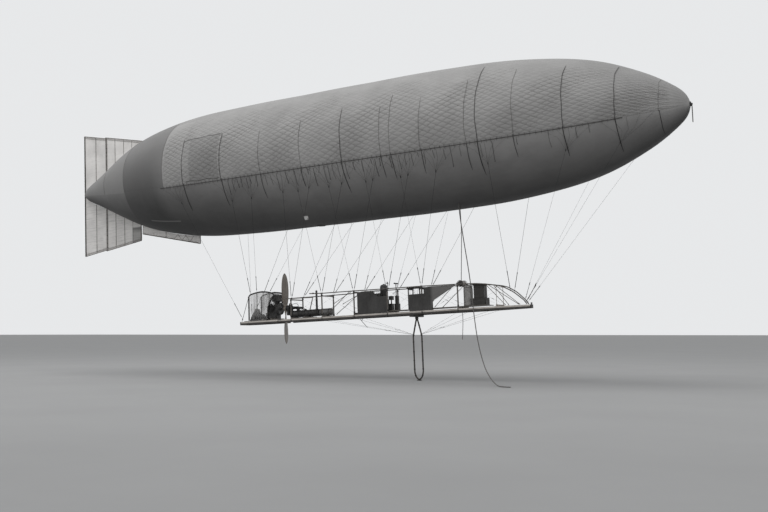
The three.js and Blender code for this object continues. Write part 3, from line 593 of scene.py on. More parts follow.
hull = {
    "length": 23.0,
    "tail": -12.0,
    "radius": 2.22,
    "widest": 0.45,
    "bandAngle": 17.3,       # degrees below the widest line
    "netStart": -6.34,       # the net begins ahead of this seam
    "netEnd": 10.9,
    "cellsRound": 80,        # diamonds of the net round the whole hull
    "cellLength": 0.32,
    "pillow": 0.007,         # how far the cloth swells between the net's cords
}


def hullRadius(x):
    # radius at x: rear (1 - u^4)^1.38 and front (1 - u^4.85)^0.74, u from the widest place to each tip
    share = np.clip((np.asarray(x, float) - hull["tail"]) / hull["length"], 0, 1)
    wide = hull["widest"]
    rear = np.clip(1 - np.clip((wide - share) / wide, 0, 1) ** 4, 0, 1) ** 1.38
    front = np.clip(1 - np.clip((share - wide) / (1 - wide), 0, 1) ** 4.85, 0, 1) ** 0.74
    # the cloth rounds out near both tips: up to 0.2 m behind, in proportion over the last metre ahead
    fromNose, fromTail = hull["length"] * (1 - share), hull["length"] * share
    blunt = 1 + 0.72 * np.exp(-fromNose / 0.2) - 0.013 * np.exp(-((fromNose - 1.5) / 0.6) ** 2)
    fuller = 0.205 * (1 - np.exp(-fromTail / 0.12)) * np.exp(-(fromTail / 1.2) ** 2)
    return hull["radius"] * np.where(share < wide, rear, front) * blunt + fuller


def onHull(x, below, side, lift=0.0):
    # a point on the hull, degrees below the widest line, on side 1 port or -1 starboard
    angle = np.radians(below)
    radius = hullRadius(x) + lift
    y, z = side * radius * np.cos(angle), -radius * np.sin(angle)
    return np.stack(np.broadcast_arrays(x, y, z), -1).astype(float)


def netBend(x, angle):
    # how far the net's lines stray from an even pattern, as a share of a cell
    slow = 0.16 * np.sin(1.9 * x + 0.7) * np.sin(0.09 * angle + 0.4 * x)
    return slow + 0.1 * np.sin(5.1 * x + 0.21 * angle)


def hullStations():
    # rows along the hull: a quarter of a net cell apart, closer at both tips
    middle = np.arange(hull["netStart"], 10.2, hull["cellLength"] / 4)
    tail = hull["tail"] + (hull["netStart"] - hull["tail"]) * np.linspace(0, 1, 40)[:-1] ** 1.25
    nose = 11.0 - (11.0 - middle[-1]) * (1 - np.linspace(0, 1, 26)[1:]) ** 1.8
    return np.concatenate([tail, middle, nose])


def makeHull():
    x = hullStations()[1:-1]
    cell = 360 / hull["cellsRound"]
    upper = np.arange(-24 * 4, 24 * 4 + 1) * cell / 4           # degrees from the top, both ways
    lower = np.linspace(upper[-1], 360 + upper[0], 36)[1:-1]
    top = np.concatenate([upper, lower])
    away = np.abs((top + 180) % 360 - 180)                       # degrees from the top, 0 to 180
    gx, ga = np.meshgrid(x, away, indexing="ij")
    cellX, cellA = (gx - hull["netStart"]) / hull["cellLength"], ga / cell
    bend = netBend(gx, ga)
    cellX, cellA = cellX + bend, cellA + 0.7 * bend
    # the net pulls the cloth in along two crossing families of lines, and it swells between them
    swell = np.abs(np.sin(np.pi * (cellX + cellA)) * np.sin(np.pi * (cellX - cellA)))
    netted = np.clip((gx - hull["netStart"]) / 0.3, 0, 1) * np.clip((hull["netEnd"] - gx) / 0.5, 0, 1)
    netted = netted * np.clip((90 + hull["bandAngle"] - ga) / 3, 0, 1) * np.clip((ga - 28) / 40, 0, 1)
    radius = hullRadius(gx)
    patchy = 0.7 + 0.3 * np.sin(1.3 * gx + 0.05 * ga) * np.sin(2.9 * gx - 0.11 * ga)
    patchy = patchy + 0.25 * np.sin(0.8 * gx + 2) * np.sin(0.07 * ga)
    relief = hull["pillow"] * (swell - 0.4) * netted * np.clip(radius / 1.2, 0.2, 1) * patchy
    # the band bites in a little; slack folds run back from the nose and along the flanks
    relief -= 0.006 * np.exp(-((ga - 90 - hull["bandAngle"]) / 1.6) ** 2) * np.clip((gx + 9) / 1, 0, 1)
    nearNose = np.clip((gx - 9.6) / 1.0, 0, 1)
    folds = np.sin(np.radians(ga) * 34 + 1.5 * np.sin(gx)) * nearNose * np.clip(radius / 1.2, 0, 1)
    relief += 0.006 * folds + 0.004 * np.sin(2.3 * gx + np.radians(ga) * 5) * np.clip(radius / 1.5, 0, 1)
    turn = np.radians(top)[None, :]
    r = radius + relief
    rings = np.stack([gx, r * np.sin(turn), r * np.cos(turn)], -1).reshape(-1, 3)
    count, rows = len(top), len(x)
    tips = np.array([[hull["tail"] - 0.004, 0, 0], [11.0, 0, 0]])
    points = np.vstack([rings, tips])
    j = np.arange(count)
    k = (j + 1) % count
    tailFan = np.stack([np.full(count, rows * count), j, k], -1)
    lastRow = (rows - 1) * count
    noseFan = np.stack([np.full(count, rows * count + 1), lastRow + k, lastRow + j], -1)
    shape = points, [gridFaces(rows, count)[:, ::-1], tailFan[:, ::-1], noseFan[:, ::-1]]
    values = {"cellX": np.append(cellX.ravel(), [0, 0]), "cellA": np.append(cellA.ravel(), [0, 0])}
    return makePiece("hull_skin", shape, "airship", makeHullLook(), values=values)


def makeHullLook():
    # rubbered cloth: tones by place on the hull, painted shade over the top and along the net's creases,
    # stains, and a dark smooth belly that painted shade darkens further towards its bottom and the tail
    material, t, shader, place = startMaterial("hullCloth", sheen=0.1)
    parts = t.add("SeparateXYZ", {0: place}).outputs
    x = parts[0]
    down = t.math("MULTIPLY", parts[2], -1.0)
    below = t.math("MULTIPLY", t.math("ARCTAN2", down, t.math("ABSOLUTE", parts[1])), 180 / math.pi)

    def within(low, high, lowAngle, highAngle, soft=0.02, lean=0.0):
        # 1 inside a panel given by x and by degrees below the widest line
        # lean slants the panel's ends, in metres a degree
        along = t.math("MULTIPLY_ADD", t.math("SUBTRACT", below, lowAngle), lean, x) if lean else x
        rear, front = t.ramp(along, low - soft, low + soft), t.ramp(along, high + soft, high - soft)
        upper = t.ramp(below, lowAngle - 0.5, lowAngle + 0.5)
        lower = t.ramp(below, highAngle + 0.5, highAngle - 0.5)
        return t.math("MULTIPLY", t.math("MULTIPLY", rear, front), t.math("MULTIPLY", upper, lower))

    weave = useGroup(t, "weave", {"Vector": place, "Threads": 900.0, "Stain Scale": 0.9})
    tone = t.mix(t.ramp(weave["Stain"], 0.3, 0.72), srgb(153, 0.02), srgb(138, 0.02))
    # painted shade: the upper cloth is darker towards the top, to temper the light from above
    tone = t.mix(t.ramp(below, 6.0, -76.0, (0.0, 0.5)), tone, srgb(98, 0.02))
    streak = t.noise(t.stretched(place, (0.5, 2.2, 0.35)), 1.6, 5.0, 0.6)
    tone = t.mix(t.math("MULTIPLY", t.ramp(streak, 0.45, 0.75), 0.3), tone, srgb(112, 0.02))
    for low, high, a0, a1, grey, amount in hullPanels[:-3]:
        tone = t.mix(t.math("MULTIPLY", within(low, high, a0, a1), amount), tone, srgb(grey, 0.02))
    # net creases: the same two families of lines as the relief, darkened along them as painted shade
    cellX = t.add("Attribute", attribute_name="cellX").outputs["Fac"]
    cellA = t.add("Attribute", attribute_name="cellA").outputs["Fac"]
    one = t.math("ABSOLUTE", t.math("SINE", t.math("MULTIPLY", t.math("ADD", cellX, cellA), math.pi)))
    two = t.math("ABSOLUTE", t.math("SINE", t.math("MULTIPLY", t.math("SUBTRACT", cellX, cellA), math.pi)))
    crease = t.math("MINIMUM", one, two)
    netted = t.ramp(x, hull["netStart"], hull["netStart"] + 0.2)
    for edge in (t.ramp(below, hull["bandAngle"], hull["bandAngle"] - 1.5),
                 t.ramp(x, hull["netEnd"], hull["netEnd"] - 0.6), t.ramp(below, -58.0, -22.0)):
        netted = t.math("MULTIPLY", netted, edge)
    patchy = t.ramp(t.noise(place, 0.9, 4.0, 0.6), 0.35, 0.65, (0.25, 1.0))
    dark = t.math("MULTIPLY", t.ramp(crease, 0.2, 0.0), t.math("MULTIPLY", netted, patchy))
    tone = t.mix(t.math("MULTIPLY", dark, 0.09), tone, srgb(62, 0.02))
    # painted shade: the ring panel darkens down to the band; below it the cloth is darker, and painted
    # shade darkens it further towards the belly and the tail
    shade = t.math("MULTIPLY", t.ramp(x, -6.34, -6.9), t.ramp(below, -30.0, 17.0, (0.0, 0.55)))
    tone = t.mix(t.math("MULTIPLY", t.ramp(x, -8.54, -8.50), shade), tone, srgb(52, 0.02))
    belly = t.ramp(below, hull["bandAngle"] - 0.3, hull["bandAngle"] + 0.3)
    tone = t.mix(t.math("MULTIPLY", belly, 0.06), tone, srgb(60, 0.02))
    # painted shade, deepening towards the bottom of the belly
    bellyShade = t.ramp(below, hull["bandAngle"], 78.0)
    tone = t.mix(t.math("MULTIPLY", bellyShade, 0.92), tone, srgb(34, 0.02))
    shade = t.math("MULTIPLY", belly, t.ramp(below, 17.0, 58.0, (0.45, 1.0)))
    tone = t.mix(t.math("MULTIPLY", t.ramp(x, -0.5, -7.0, (0.0, 0.8)), shade), tone, srgb(14, 0.02))
    for low, high, a0, a1, grey, amount in hullPanels[-3:]:
        panel = within(low, high, a0, a1, 0.006, 0.015 if a0 > 60 else 0.0)
        tone = t.mix(t.math("MULTIPLY", panel, amount), tone, srgb(grey, 0.02))
    swell = t.math("MULTIPLY", t.math("POWER", crease, 0.6), netted)
    height = t.math("MULTIPLY_ADD", swell, 3.0, t.math("MULTIPLY", weave["Height"], 0.12))
    finishMaterial(t, shader, tone, t.ramp(weave["Stain"], 0.2, 0.8, (0.62, 0.8)), height, 0.5, 0.006)
    return material


# [x from, x to, degrees below from, to, grey, share]: cloth panels that differ in tone
hullPanels = [
    (-12.1, -8.52, -90.0, 17.3, 118, 0.75),
    (-8.52, -6.34, -90.0, 17.3, 96, 0.75),
    (-6.34, -5.39, -52.0, 17.3, 146, 0.5),
    (-5.08, -3.84, -25.0, 15.0, 100, 0.35),
    (-1.33, -1.17, 64.6, 70.6, 240, 1.0),
    (-1.27, -1.23, 68.2, 70.6, 40, 0.9),
    (-7.7, -6.25, 53.3, 54.7, 150, 0.45),
]

hullSkin = makeHull()
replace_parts(hullSkin, "envelope")

# filling neck under the belly: a turned ring with the sleeve gathered and tied inside it
neck = {"x": -1.25, "inner": 0.12, "outer": 0.14, "drop": 0.018, "pleats": 22}


def makeNeck():
    low = -float(hullRadius(neck["x"])) - neck["drop"]
    a, b = neck["inner"], neck["outer"]
    down = [0.0, 0.0, -1.0]
    centre = [neck["x"], 0.0, low]
    rim = [(-0.03, a + 0.001), (-0.004, a + 0.001), (0.0, a + 0.005), (0.0, b - 0.005), (-0.004, b),
           (-0.03, b)]
    collar = lathe(rim, centre, down, 40)
    cord = lathe([(at - 0.009, r) for at, r in bead(0.004, 0.002, b, b + 0.003)], centre, down, 40)
    # sleeve: rows from the ring to the tied middle, sagging by 10 mm, with pleats that are deepest midway
    r = np.linspace(a + 0.002, 0.012, 9)[:, None]
    count = neck["pleats"] * 8
    turn = (np.arange(count) / count * 2 * np.pi)[None, :]
    fold = 0.0035 * np.sin(turn * neck["pleats"]) * np.sin(np.pi * np.clip((a - r) / a + 0.12, 0, 1))
    z = low + 0.014 - 0.010 * (1 - r / a) + fold
    front = np.stack([neck["x"] + r * np.cos(turn), r * np.sin(turn), z + 0 * r], -1)
    behind = front[::-1] + [0.0, 0.0, 0.004]
    points = np.concatenate([front, behind]).reshape(-1, 3)
    j, last = np.arange(count), len(points) - count
    k = (j + 1) % count
    sleeve = points, [gridFaces(2 * len(r), count), np.stack([last + j, j, k, last + k], -1)]
    knot = [(-0.014, 0.004), (-0.010, 0.014), (0.001, 0.015), (0.005, 0.011), (0.006, 0.0)]
    tie = lathe(knot, centre, down, 16)
    return merged(collar, cord), merged(outward(sleeve), tie)


collar, sleeve = makeNeck()
makePiece("neck_ring", collar, "airship", looks["tape"])
makePiece("neck_sleeve", sleeve, "airship", looks["paleCanvas"])
print("hull made")


# rigging: tapes, net, band, leashes and stays

girder = {
    "drop": 5.4,             # from the hull's axis to the underside of the lower beams
    "half": 0.36,
    "railRadius": 0.016,
    "hoopRadius": 0.024,
    "firstFrame": -2.33,
    "bay": 1.225,
}
under = -girder["drop"]
sides = (("port", 1), ("starboard", -1))

# upper rails: [x, height above the beams' underside, half width]
railAhead = [
    (0.120, 0.883, 0.36), (1.345, 0.874, 0.36), (2.570, 0.872, 0.36), (3.795, 0.850, 0.36),
    (4.400, 0.828, 0.351), (4.760, 0.785, 0.312), (5.000, 0.745, 0.272), (5.200, 0.690, 0.228),
    (5.330, 0.625, 0.195), (5.510, 0.520, 0.154), (5.700, 0.360, 0.116), (5.830, 0.240, 0.090),
    (5.905, 0.132, 0.076)]
rails = {
    "starboard": [(-1.580, 0.905, 0.36), (-1.105, 0.884, 0.36)] + railAhead,
    "port": [(-2.735, 0.843, 0.36), (-1.105, 0.843, 0.36), (-0.500, 0.848, 0.36)] + railAhead,
}
lowRail = [(-2.735, 0.797, 0.36), (-1.450, 0.772, 0.36)]
hoop = [
    (-4.070, 0.136, 0.36), (-4.062, 0.940, 0.36), (-4.010, 1.004, 0.36), (-3.900, 1.038, 0.36),
    (-3.700, 1.074, 0.36), (-3.500, 1.086, 0.36), (-3.300, 1.066, 0.36), (-3.160, 1.035, 0.36),
    (-3.060, 0.990, 0.36), (-3.035, 0.925, 0.36), (-3.150, 0.780, 0.36), (-3.275, 0.520, 0.36),
    (-3.290, 0.136, 0.36)]
# [x at the girder, x where the stay leaves the hull, radius]
stays = [
    (-4.410, -5.800, 0.003), (-3.980, -3.500, 0.004), (-3.720, -2.650, 0.003), (-2.310, -1.400, 0.0035),
    (-2.280, -0.300, 0.0035), (-1.120, -0.900, 0.003), (-1.085, 0.900, 0.0035), (0.100, 0.250, 0.0025),
    (0.135, 2.000, 0.0035), (1.318, 1.600, 0.0025), (1.405, 3.200, 0.0035), (2.550, 2.800, 0.0025),
    (2.585, 4.100, 0.0035), (5.440, 5.600, 0.004), (5.850, 8.000, 0.0025), (5.875, 9.500, 0.0025)]
# girth seams: x, and how many degrees above the widest line their tape ends
seams = {
    -10.05: 30, -8.52: 70, -6.34: 62, -5.39: 26, -3.75: 25, -2.17: 22, -0.60: 24, 0.90: 29, 2.28: 24,
    2.62: 34, 3.62: 26, 5.06: 38, 5.40: 56, 6.47: 46, 7.86: 50, 9.22: 66, 10.30: 72}
strongSeams = [-5.39, -3.75, 0.90, 5.40, 7.86, 9.22]


def railPoint(rows, x, side):
    # a point on a rail's middle line at x
    table = np.array(sorted(rows))
    height, half = (np.interp(x, table[:, 0], table[:, k]) for k in (1, 2))
    return np.array([x, side * half, height + under])


def stayFoot(x, side):
    if x <= -4.07:
        return np.array([x, side * 0.276, 0.20 + under])
    if x < -3:
        return railPoint(hoop[1:8], x, side)
    if side < 0 and x < -2:
        return railPoint(lowRail, x, side)
    return railPoint(rails["port" if side > 0 else "starboard"], x, side)


def ribbon(path, facing, width, thick):
    # a flat tape along a path, its face turned the given way
    return swept(path, flatSection(width / 2, thick / 2), hint=facing)


def makeTapes(strong):
    # tapes over the girth seams, slightly wavy, from the band up to where the upper cloth is plain
    shapes = []
    for n, (x, end) in enumerate(seams.items()):
        if (x in strongSeams) != strong:
            continue
        for _, side in sides:
            turn = np.linspace(hull["bandAngle"], -end, 60)
            wave = 0.010 * np.sin(np.radians(turn) * 6 + n) + 0.005 * np.sin(np.radians(turn) * 17 + 2 * n)
            path = onHull(x + wave, turn, side, 0.007)
            section = flatSection(0.011 if strong else 0.007, 0.0015)
            scale = np.clip(np.linspace(12, 0.25, 60), 0.25, 1)
            shapes.append(swept(path, section, hint=path * [0, 1, 1], scale=scale))
    if strong:
        # edge tapes along the top and the foot of the darker panel
        for x0, x1, a0, a1 in ((-5.37, -3.77, -24.0, -25.0), (-5.25, -3.80, 14.6, 14.9)):
            x = np.linspace(x0, x1, 24)
            for _, side in sides:
                path = onHull(x, np.linspace(a0, a1, 24) + 0.4 * np.sin(x * 9), side, 0.006)
                shapes.append(ribbon(path, path * [0, 1, 1], 0.013, 0.003))
    return merged(*shapes)


def makeNet():
    # the net's cords: two crossing families, found where cellX + cellA or cellX - cellA is a whole number
    cell = 360 / hull["cellsRound"]
    angle = np.linspace(42, 90 + hull["bandAngle"] - 0.8, 44)
    reach = hull["netEnd"] - 0.35 - hull["netStart"]
    shapes = []
    for way in (1, -1):
        rows = int(reach / hull["cellLength"])
        for k in range(-30 if way < 0 else 0, rows + (30 if way > 0 else 0)):
            x = hull["netStart"] + hull["cellLength"] * (k - way * angle / cell)
            for _ in range(6):
                bend = netBend(x, angle)
                cells = (x - hull["netStart"]) / hull["cellLength"]
                value = cells + bend + way * (angle / cell + 0.7 * bend)
                x = x - 0.7 * hull["cellLength"] * (value - k)
            inside = (x > hull["netStart"] + 0.02) & (x < hull["netEnd"] - 0.35)
            if inside.sum() < 3:
                continue
            a, gx = np.radians(angle[inside]), x[inside]
            r = hullRadius(gx) - 0.001
            path = np.stack([gx, r * np.sin(a), r * np.cos(a)], -1)
            one = swept(path, ring(0.0024, 3), hint=np.stack([0 * a, np.sin(a), np.cos(a)], -1),
                        scale=np.clip((angle[inside] - 34) / 36, 0.3, 1))
            shapes += [one, mirrored(one)]
    return merged(*shapes)


def makeBand(side):
    # a tape with a rope laid along it, crossed by the net's toggles
    x = np.linspace(-6.5, 9.4, 170)
    path = onHull(x, hull["bandAngle"], side, 0.003)
    shapes = [ribbon(path, path * [0, 1, 1], 0.020, 0.003)]
    wave = 0.12 * np.sin(x * 9.0) + 0.08 * np.sin(x * 23.0)
    shapes.append(swept(onHull(x, hull["bandAngle"] + wave, side, 0.007), ring(0.006, 6)))
    toggles = np.arange(hull["netStart"], 9.3, hull["cellLength"] / 2)
    for t in toggles + random.uniform(-0.02, 0.02, len(toggles)):
        a, b = onHull(t, 15.6, side, 0.009), onHull(t + random.uniform(-0.02, 0.02), 19.0, side, 0.009)
        shapes.append(swept(np.linspace(a, b, 3), ring(0.004, 5), scale=[0.6, 1.2, 0.6]))
    return merged(*shapes)


def makeLeashes(side):
    # short cords, unevenly long and spaced, that hang from the band on the hull's flank
    shapes = []
    x = -3.5
    while x < 8.8:
        long = random.uniform(0.14, 0.62)
        drop = np.degrees(long / max(hullRadius(x), 0.4))
        lean = random.uniform(-0.035, 0.035)
        s = np.linspace(0, 1, 7)
        path = onHull(x + lean * s ** 2 + 0.004 * np.sin(s * 6 + x), 18.6 + drop * s, side, 0.006)
        shapes.append(swept(path, ring(random.uniform(0.0035, 0.007), 4)))
        if random.random() < 0.4:
            knot = path[-1] + [0, side * 0.004, 0.012]
            shapes.append(lathe([(0, 0.004), (0.008, 0.011), (0.022, 0.011), (0.03, 0.004)], knot,
                                [0, 0, -1], 6))
        x += random.uniform(0.13, 0.36) * (1 if x < 4.8 else 2.6)
    return merged(*shapes)


def makeStraps(side):
    # stay straps over the seams, down from the band, each ending in a point
    shapes = []
    for n, x in enumerate([s for s in seams if s > -6]):
        long = (0.85 if x in strongSeams else 0.6) + 0.25 * random.random()
        drop = np.degrees(long / max(hullRadius(x), 0.5))
        wave = 0.01 * np.sin(np.linspace(0, 4, 16) + n)
        path = onHull(x + wave, np.linspace(16.0, hull["bandAngle"] + drop, 16), side, 0.0065)
        scale = np.concatenate([np.ones(13), [0.8, 0.55, 0.3]])
        section = flatSection(0.012 if x in strongSeams else 0.008, 0.002)
        shapes.append(swept(path, section, hint=path * [0, 1, 1], scale=scale))
    return merged(*shapes)


def makeStays(side):
    # each stay: five legs from the band to a knot, one line, and a small tackle at the girder's tube
    shapes, legs = [], []
    for footX, topX, radius in stays:
        foot = stayFoot(footX, side) + [0, 0, 0.012]
        slope = float(hullRadius(topX + 0.05) - hullRadius(topX - 0.05)) / 0.1
        reach = math.hypot(foot[1], foot[2])
        tangent = (float(hullRadius(topX)) + slope * (foot[0] - topX)) / reach
        down = math.degrees(math.atan2(-foot[2], abs(foot[1])) - math.acos(tangent))
        leave = max(down, 20.0)
        start = onHull(topX, leave, side, 0.008)
        way = unit(foot - start)
        knot = start + way * 0.42
        for n, offset in enumerate((-0.52, -0.26, 0.0, 0.26, 0.52)):
            steps = max(int((leave - 18.0) / 6), 1) + 1
            angle = np.linspace(18.0, leave - 0.6 * abs(offset), steps)
            x = topX + offset * np.linspace(1.25, 0.62, steps)
            path = np.vstack([onHull(x, angle, side, 0.006 * math.hypot(1, slope) + 0.001 * n), knot])
            legs.append(swept(path, ring(0.0017 if offset else 0.0025, 4)))
        shapes.append(swept(np.array([knot, foot]), ring(radius, 6)))
        shapes.append(lathe([(-0.03, 0.004), (-0.015, 0.013), (0.01, 0.014), (0.045, 0.006)], knot, way, 8))
        # two blocks with two parts of cord between them, and a loop round the tube
        shapes.append(lathe([(-0.16, 0.004), (-0.14, 0.011), (-0.10, 0.011), (-0.08, 0.004)], foot, way, 8))
        shapes.append(lathe([(-0.62, 0.004), (-0.60, 0.012), (-0.55, 0.012), (-0.53, 0.004)], foot, way, 8))
        across = unit(np.cross(way, [0, 1, 0])) * 0.007
        for turn in (-1, 1):
            spot = across * turn
            shapes.append(rod(foot - way * 0.13 + spot, foot - way * 0.57 + spot, 0.0026, 5))
        shapes.append(lathe(bead(0.012, 0.008, 0.017, 0.021), foot - [0, 0, 0.012], [1, 0, 0], 10))
    return merged(*shapes), merged(*legs)


makePiece("girth_tapes", makeTapes(True), "airship", looks["tape"])
makePiece("seam_tapes", makeTapes(False), "airship", looks["paleTape"])
makePiece("net_cords", makeNet(), "airship", looks["net"])
for sideName, side in sides:
    makePiece("net_band_" + sideName, makeBand(side), "airship", looks["tape"])
    makePiece("net_leashes_" + sideName, makeLeashes(side), "airship", looks["cord"])
    makePiece("stay_straps_" + sideName, makeStraps(side), "airship", looks["strap"])
    lines, legs = makeStays(side)
    mainStays = makePiece("main_stays_" + sideName, lines, "airship", looks["stay"])
    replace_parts(mainStays, "rigging_" + sideName)
    makePiece("stay_legs_" + sideName, legs, "airship", looks["leg"])
print("rigging made")


# fins, rudder and keel cloth

fins = {
    "top": {"back": (-12.045, 2.360), "front": (-9.060, 1.740)},
    "bottom": {"back": (-12.045, -2.415), "front": (-9.190, -2.012)},
    "hinge": -10.93,
    "rudderRear": -12.045,
    "rudderMiddle": -11.45,
    "spars": [(-10.88, 0.016), (-10.46, 0.010), (-10.02, 0.010), (-9.61, 0.008)],
    "rudderDrop": 0.031,
}


def finEdge(x, which):
    (x0, z0), (x1, z1) = fins[which]["back"], fins[which]["front"]
    return z0 + (z1 - z0) * (np.asarray(x, float) - x0) / (x1 - x0)


def thinSheet(points, thick, closed=False):
    # a grid of points as cloth of even thickness, closed at its edges
    rows, columns = points.shape[:2]
    down = np.gradient(points, axis=0)
    over = (np.roll(points, -1, 1) - np.roll(points, 1, 1)) if closed else np.gradient(points, axis=1)
    normal = unit(np.cross(down, over)) * thick / 2
    n = rows * columns
    quads = gridFaces(rows, columns, closed)
    number = np.arange(n).reshape(rows, columns)
    if closed:
        loops = [np.append(number[0], number[0, 0]), np.append(number[-1], number[-1, 0])[::-1]]
    else:
        loops = [np.concatenate([number[0], number[1:, -1], number[-1, :-1][::-1], number[:-1, 0][::-1]])]
    rim = [np.stack([l[:-1], l[1:], n + l[1:], n + l[:-1]], -1) for l in loops]
    layers = np.vstack([(points + normal).reshape(-1, 3), (points - normal).reshape(-1, 3)])
    return layers, [quads[:, ::-1], n + quads] + rim


def finCloth(which, x0, x1, columns, edgeDrop, toHull):
    # cloth from the outer edge to the hull or the middle; it bellies between spars and puckers at them
    way = 1 if which == "top" else -1
    x = np.linspace(x0, x1, columns)
    outer = finEdge(x, which) - way * edgeDrop
    inner = way * np.maximum(hullRadius(x) + 0.004, 0.004) if toHull else 0 * x
    s = np.linspace(0, 1, 60)[:, None]
    z = outer[None, :] * (1 - s) + inner[None, :] * s
    spars = np.array([p for p, _ in fins["spars"]]
                     + [fins["hinge"], fins["rudderRear"], fins["rudderMiddle"], fins[which]["front"][0]])
    near = np.abs(x[:, None] - spars[None, :]).min(1)
    puff = 0.0035 * np.clip(near / 0.15, 0, 1)[None, :] * np.sin(np.pi * np.clip(s * 1.02, 0, 1)) ** 0.5
    puckers = 0.0013 * np.sin(z * 46 + 2.0 * np.sin(x * 7)[None, :]) * np.exp(-near / 0.10)[None, :]
    gx = np.broadcast_to(x, z.shape)
    wave = 0.0015 * np.sin(3.1 * gx + 2.3 * z) + 0.001 * np.sin(11 * z + 5 * gx)
    return np.stack([gx, puff + puckers + wave, z], -1)


def area(points):
    a, b = np.diff(points, axis=0)[:, :-1], np.diff(points, axis=1)[:-1]
    return float(np.linalg.norm(np.cross(a, b), axis=-1).sum())


def seamRods(which, edgeDrop, x0, x1):
    # the double seam along an outer edge, as two raised lines of stitching each side
    way = 1 if which == "top" else -1
    shapes = []
    for down in (0.045, 0.075):
        for face in (-1, 1):
            x = np.linspace(x0, x1, 40)
            z = finEdge(x, which) - way * (edgeDrop + down)
            shapes.append(ribbon(np.stack([x, 0 * x + face * 0.0065, z], -1), (0, face, 0), 0.008, 0.002))
    return shapes


def lashings(x, radius, low, high):
    # turns of cord that tie the cloth to a spar
    turn = bead(0.012, 0.008, radius, radius + 0.0035)
    return [lathe(turn, [x, 0, z], [0, 0, 1], 10) for z in np.arange(low, high, 0.16)]


def makeFin(which):
    way = 1 if which == "top" else -1
    front = fins[which]["front"][0]
    rear = fins["spars"][0][0]
    grid = finCloth(which, rear, front, 96, 0.0, True)
    cloth = makePiece("fin_%s_cloth" % which, thinSheet(grid, 0.003), "airship", looks["fin"])
    flat = (round(front - rear + 0.02, 3), round(float(abs(finEdge(rear, which))), 3))
    round(area(grid), 3)
    shapes = []
    for x, radius in fins["spars"] + [(front, 0.014)]:
        top = float(finEdge(x, which))
        low = way * max(float(hullRadius(x)) + 0.001, 0.004)
        s = np.linspace(0, 1, 9)
        path = np.stack([0 * s + x, 0 * s, top + (low - top) * s], -1)
        shapes.append(swept(path, ring(radius, 12), scale=1 + 0.1 * np.sin(np.pi * s)))
        shapes += lashings(x, radius, min(low, top) + 0.12, max(low, top) - 0.05)
    ends = [np.array([x, 0, float(finEdge(x, which))]) for x in (fins["hinge"] - 0.02, front)]
    shapes.append(swept(np.linspace(ends[0], ends[1], 12), ring(0.013, 12)))
    shapes += seamRods(which, 0.0, rear, front)
    if which == "bottom":
        # a doubled strip of cloth binds the front edge
        low = float(hullRadius(front)) + 0.03
        shapes.append(box([front - 0.036, -0.006, float(finEdge(front, which))], [front, 0.006, -low]))
    pinTop = float(finEdge(fins["hinge"], which))
    pinLow = pinTop - way * 0.0167
    shapes.append(rod([fins["hinge"], 0, pinTop], [fins["hinge"], 0, pinLow], 0.008, 12))
    finFrame = makePiece("fin_%s_frame" % which, merged(*shapes), "airship", looks["finSpar"])
    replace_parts(finFrame, "fin_" + which)


def makeRudder():
    drop, rear, hinge = fins["rudderDrop"], fins["rudderRear"], fins["hinge"]
    shapes, trailing = [], []
    upper = finCloth("top", rear, hinge, 44, drop, False)
    low = finCloth("bottom", rear, hinge, 44, drop, False)
    # both halves share the upper one's last row
    lower = np.concatenate([low[:-1], upper[-1:]])
    # the rudder is cut to clear the hull's tail
    for half, way in ((upper, 1), (lower, -1)):
        s = np.linspace(0, 1, len(half))[:, None]
        x = half[0, :, 0]
        edge = half[0, :, 2]
        inner = way * np.where(x > -12.0, hullRadius(x) + 0.019, 0.0)
        half[..., 2] = edge[None, :] * (1 - s) + inner[None, :] * s
    size = area(upper) + area(lower)
    halves = merged(thinSheet(upper, 0.003), thinSheet(lower, 0.003))
    cloth = makePiece("rudder_cloth", halves, "rudder", looks["fin"])
    for x, radius in ((rear, 0.017), (fins["rudderMiddle"], 0.013), (hinge, 0.016)):
        clear = float(hullRadius(x)) + 0.02 if x > -12.0 else 0.0
        zTop, zLow = float(finEdge(x, "top")) - drop, float(finEdge(x, "bottom")) + drop
        extra = 0.014 if x == hinge else 0.0
        spans = [(clear, zTop + extra), (zLow - extra, -clear)] if clear else [(zLow, zTop)]
        for a, b in spans:
            s = np.linspace(0, 1, 14)
            shapes.append(swept(np.stack([0 * s + x, 0 * s, a + (b - a) * s], -1), ring(radius, 12)))
            if x > -12.0:
                shapes += lashings(x, radius, a + 0.1, b - 0.05)
            else:
                trailing.append(box([x - 0.004, -0.0065, a], [x + 0.044, 0.0065, b]))
                # beads where the trailing edge's cord is laced round the spar
                for z in np.arange(a + 0.03, b, 0.062):
                    trailing.append(lathe(bead(0.016, 0.008, 0.012, 0.0215), [x, 0, z], [0, 0, 1], 8))
    for which in ("top", "bottom"):
        way = 1 if which == "top" else -1
        x = np.linspace(rear, hinge, 10)
        shapes.append(swept(np.stack([x, 0 * x, finEdge(x, which) - way * drop], -1), ring(0.013, 12)))
        shapes += seamRods(which, drop, rear, hinge)
    rudderFrame = makePiece("rudder_frame", merged(*shapes), "rudder", looks["finSpar"])
    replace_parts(rudderFrame, "rudder")
    makePiece("rudder_edge", merged(*trailing), "rudder", looks["strap"])


keel = {"rear": -9.12, "front": -6.40, "depth": 0.34}


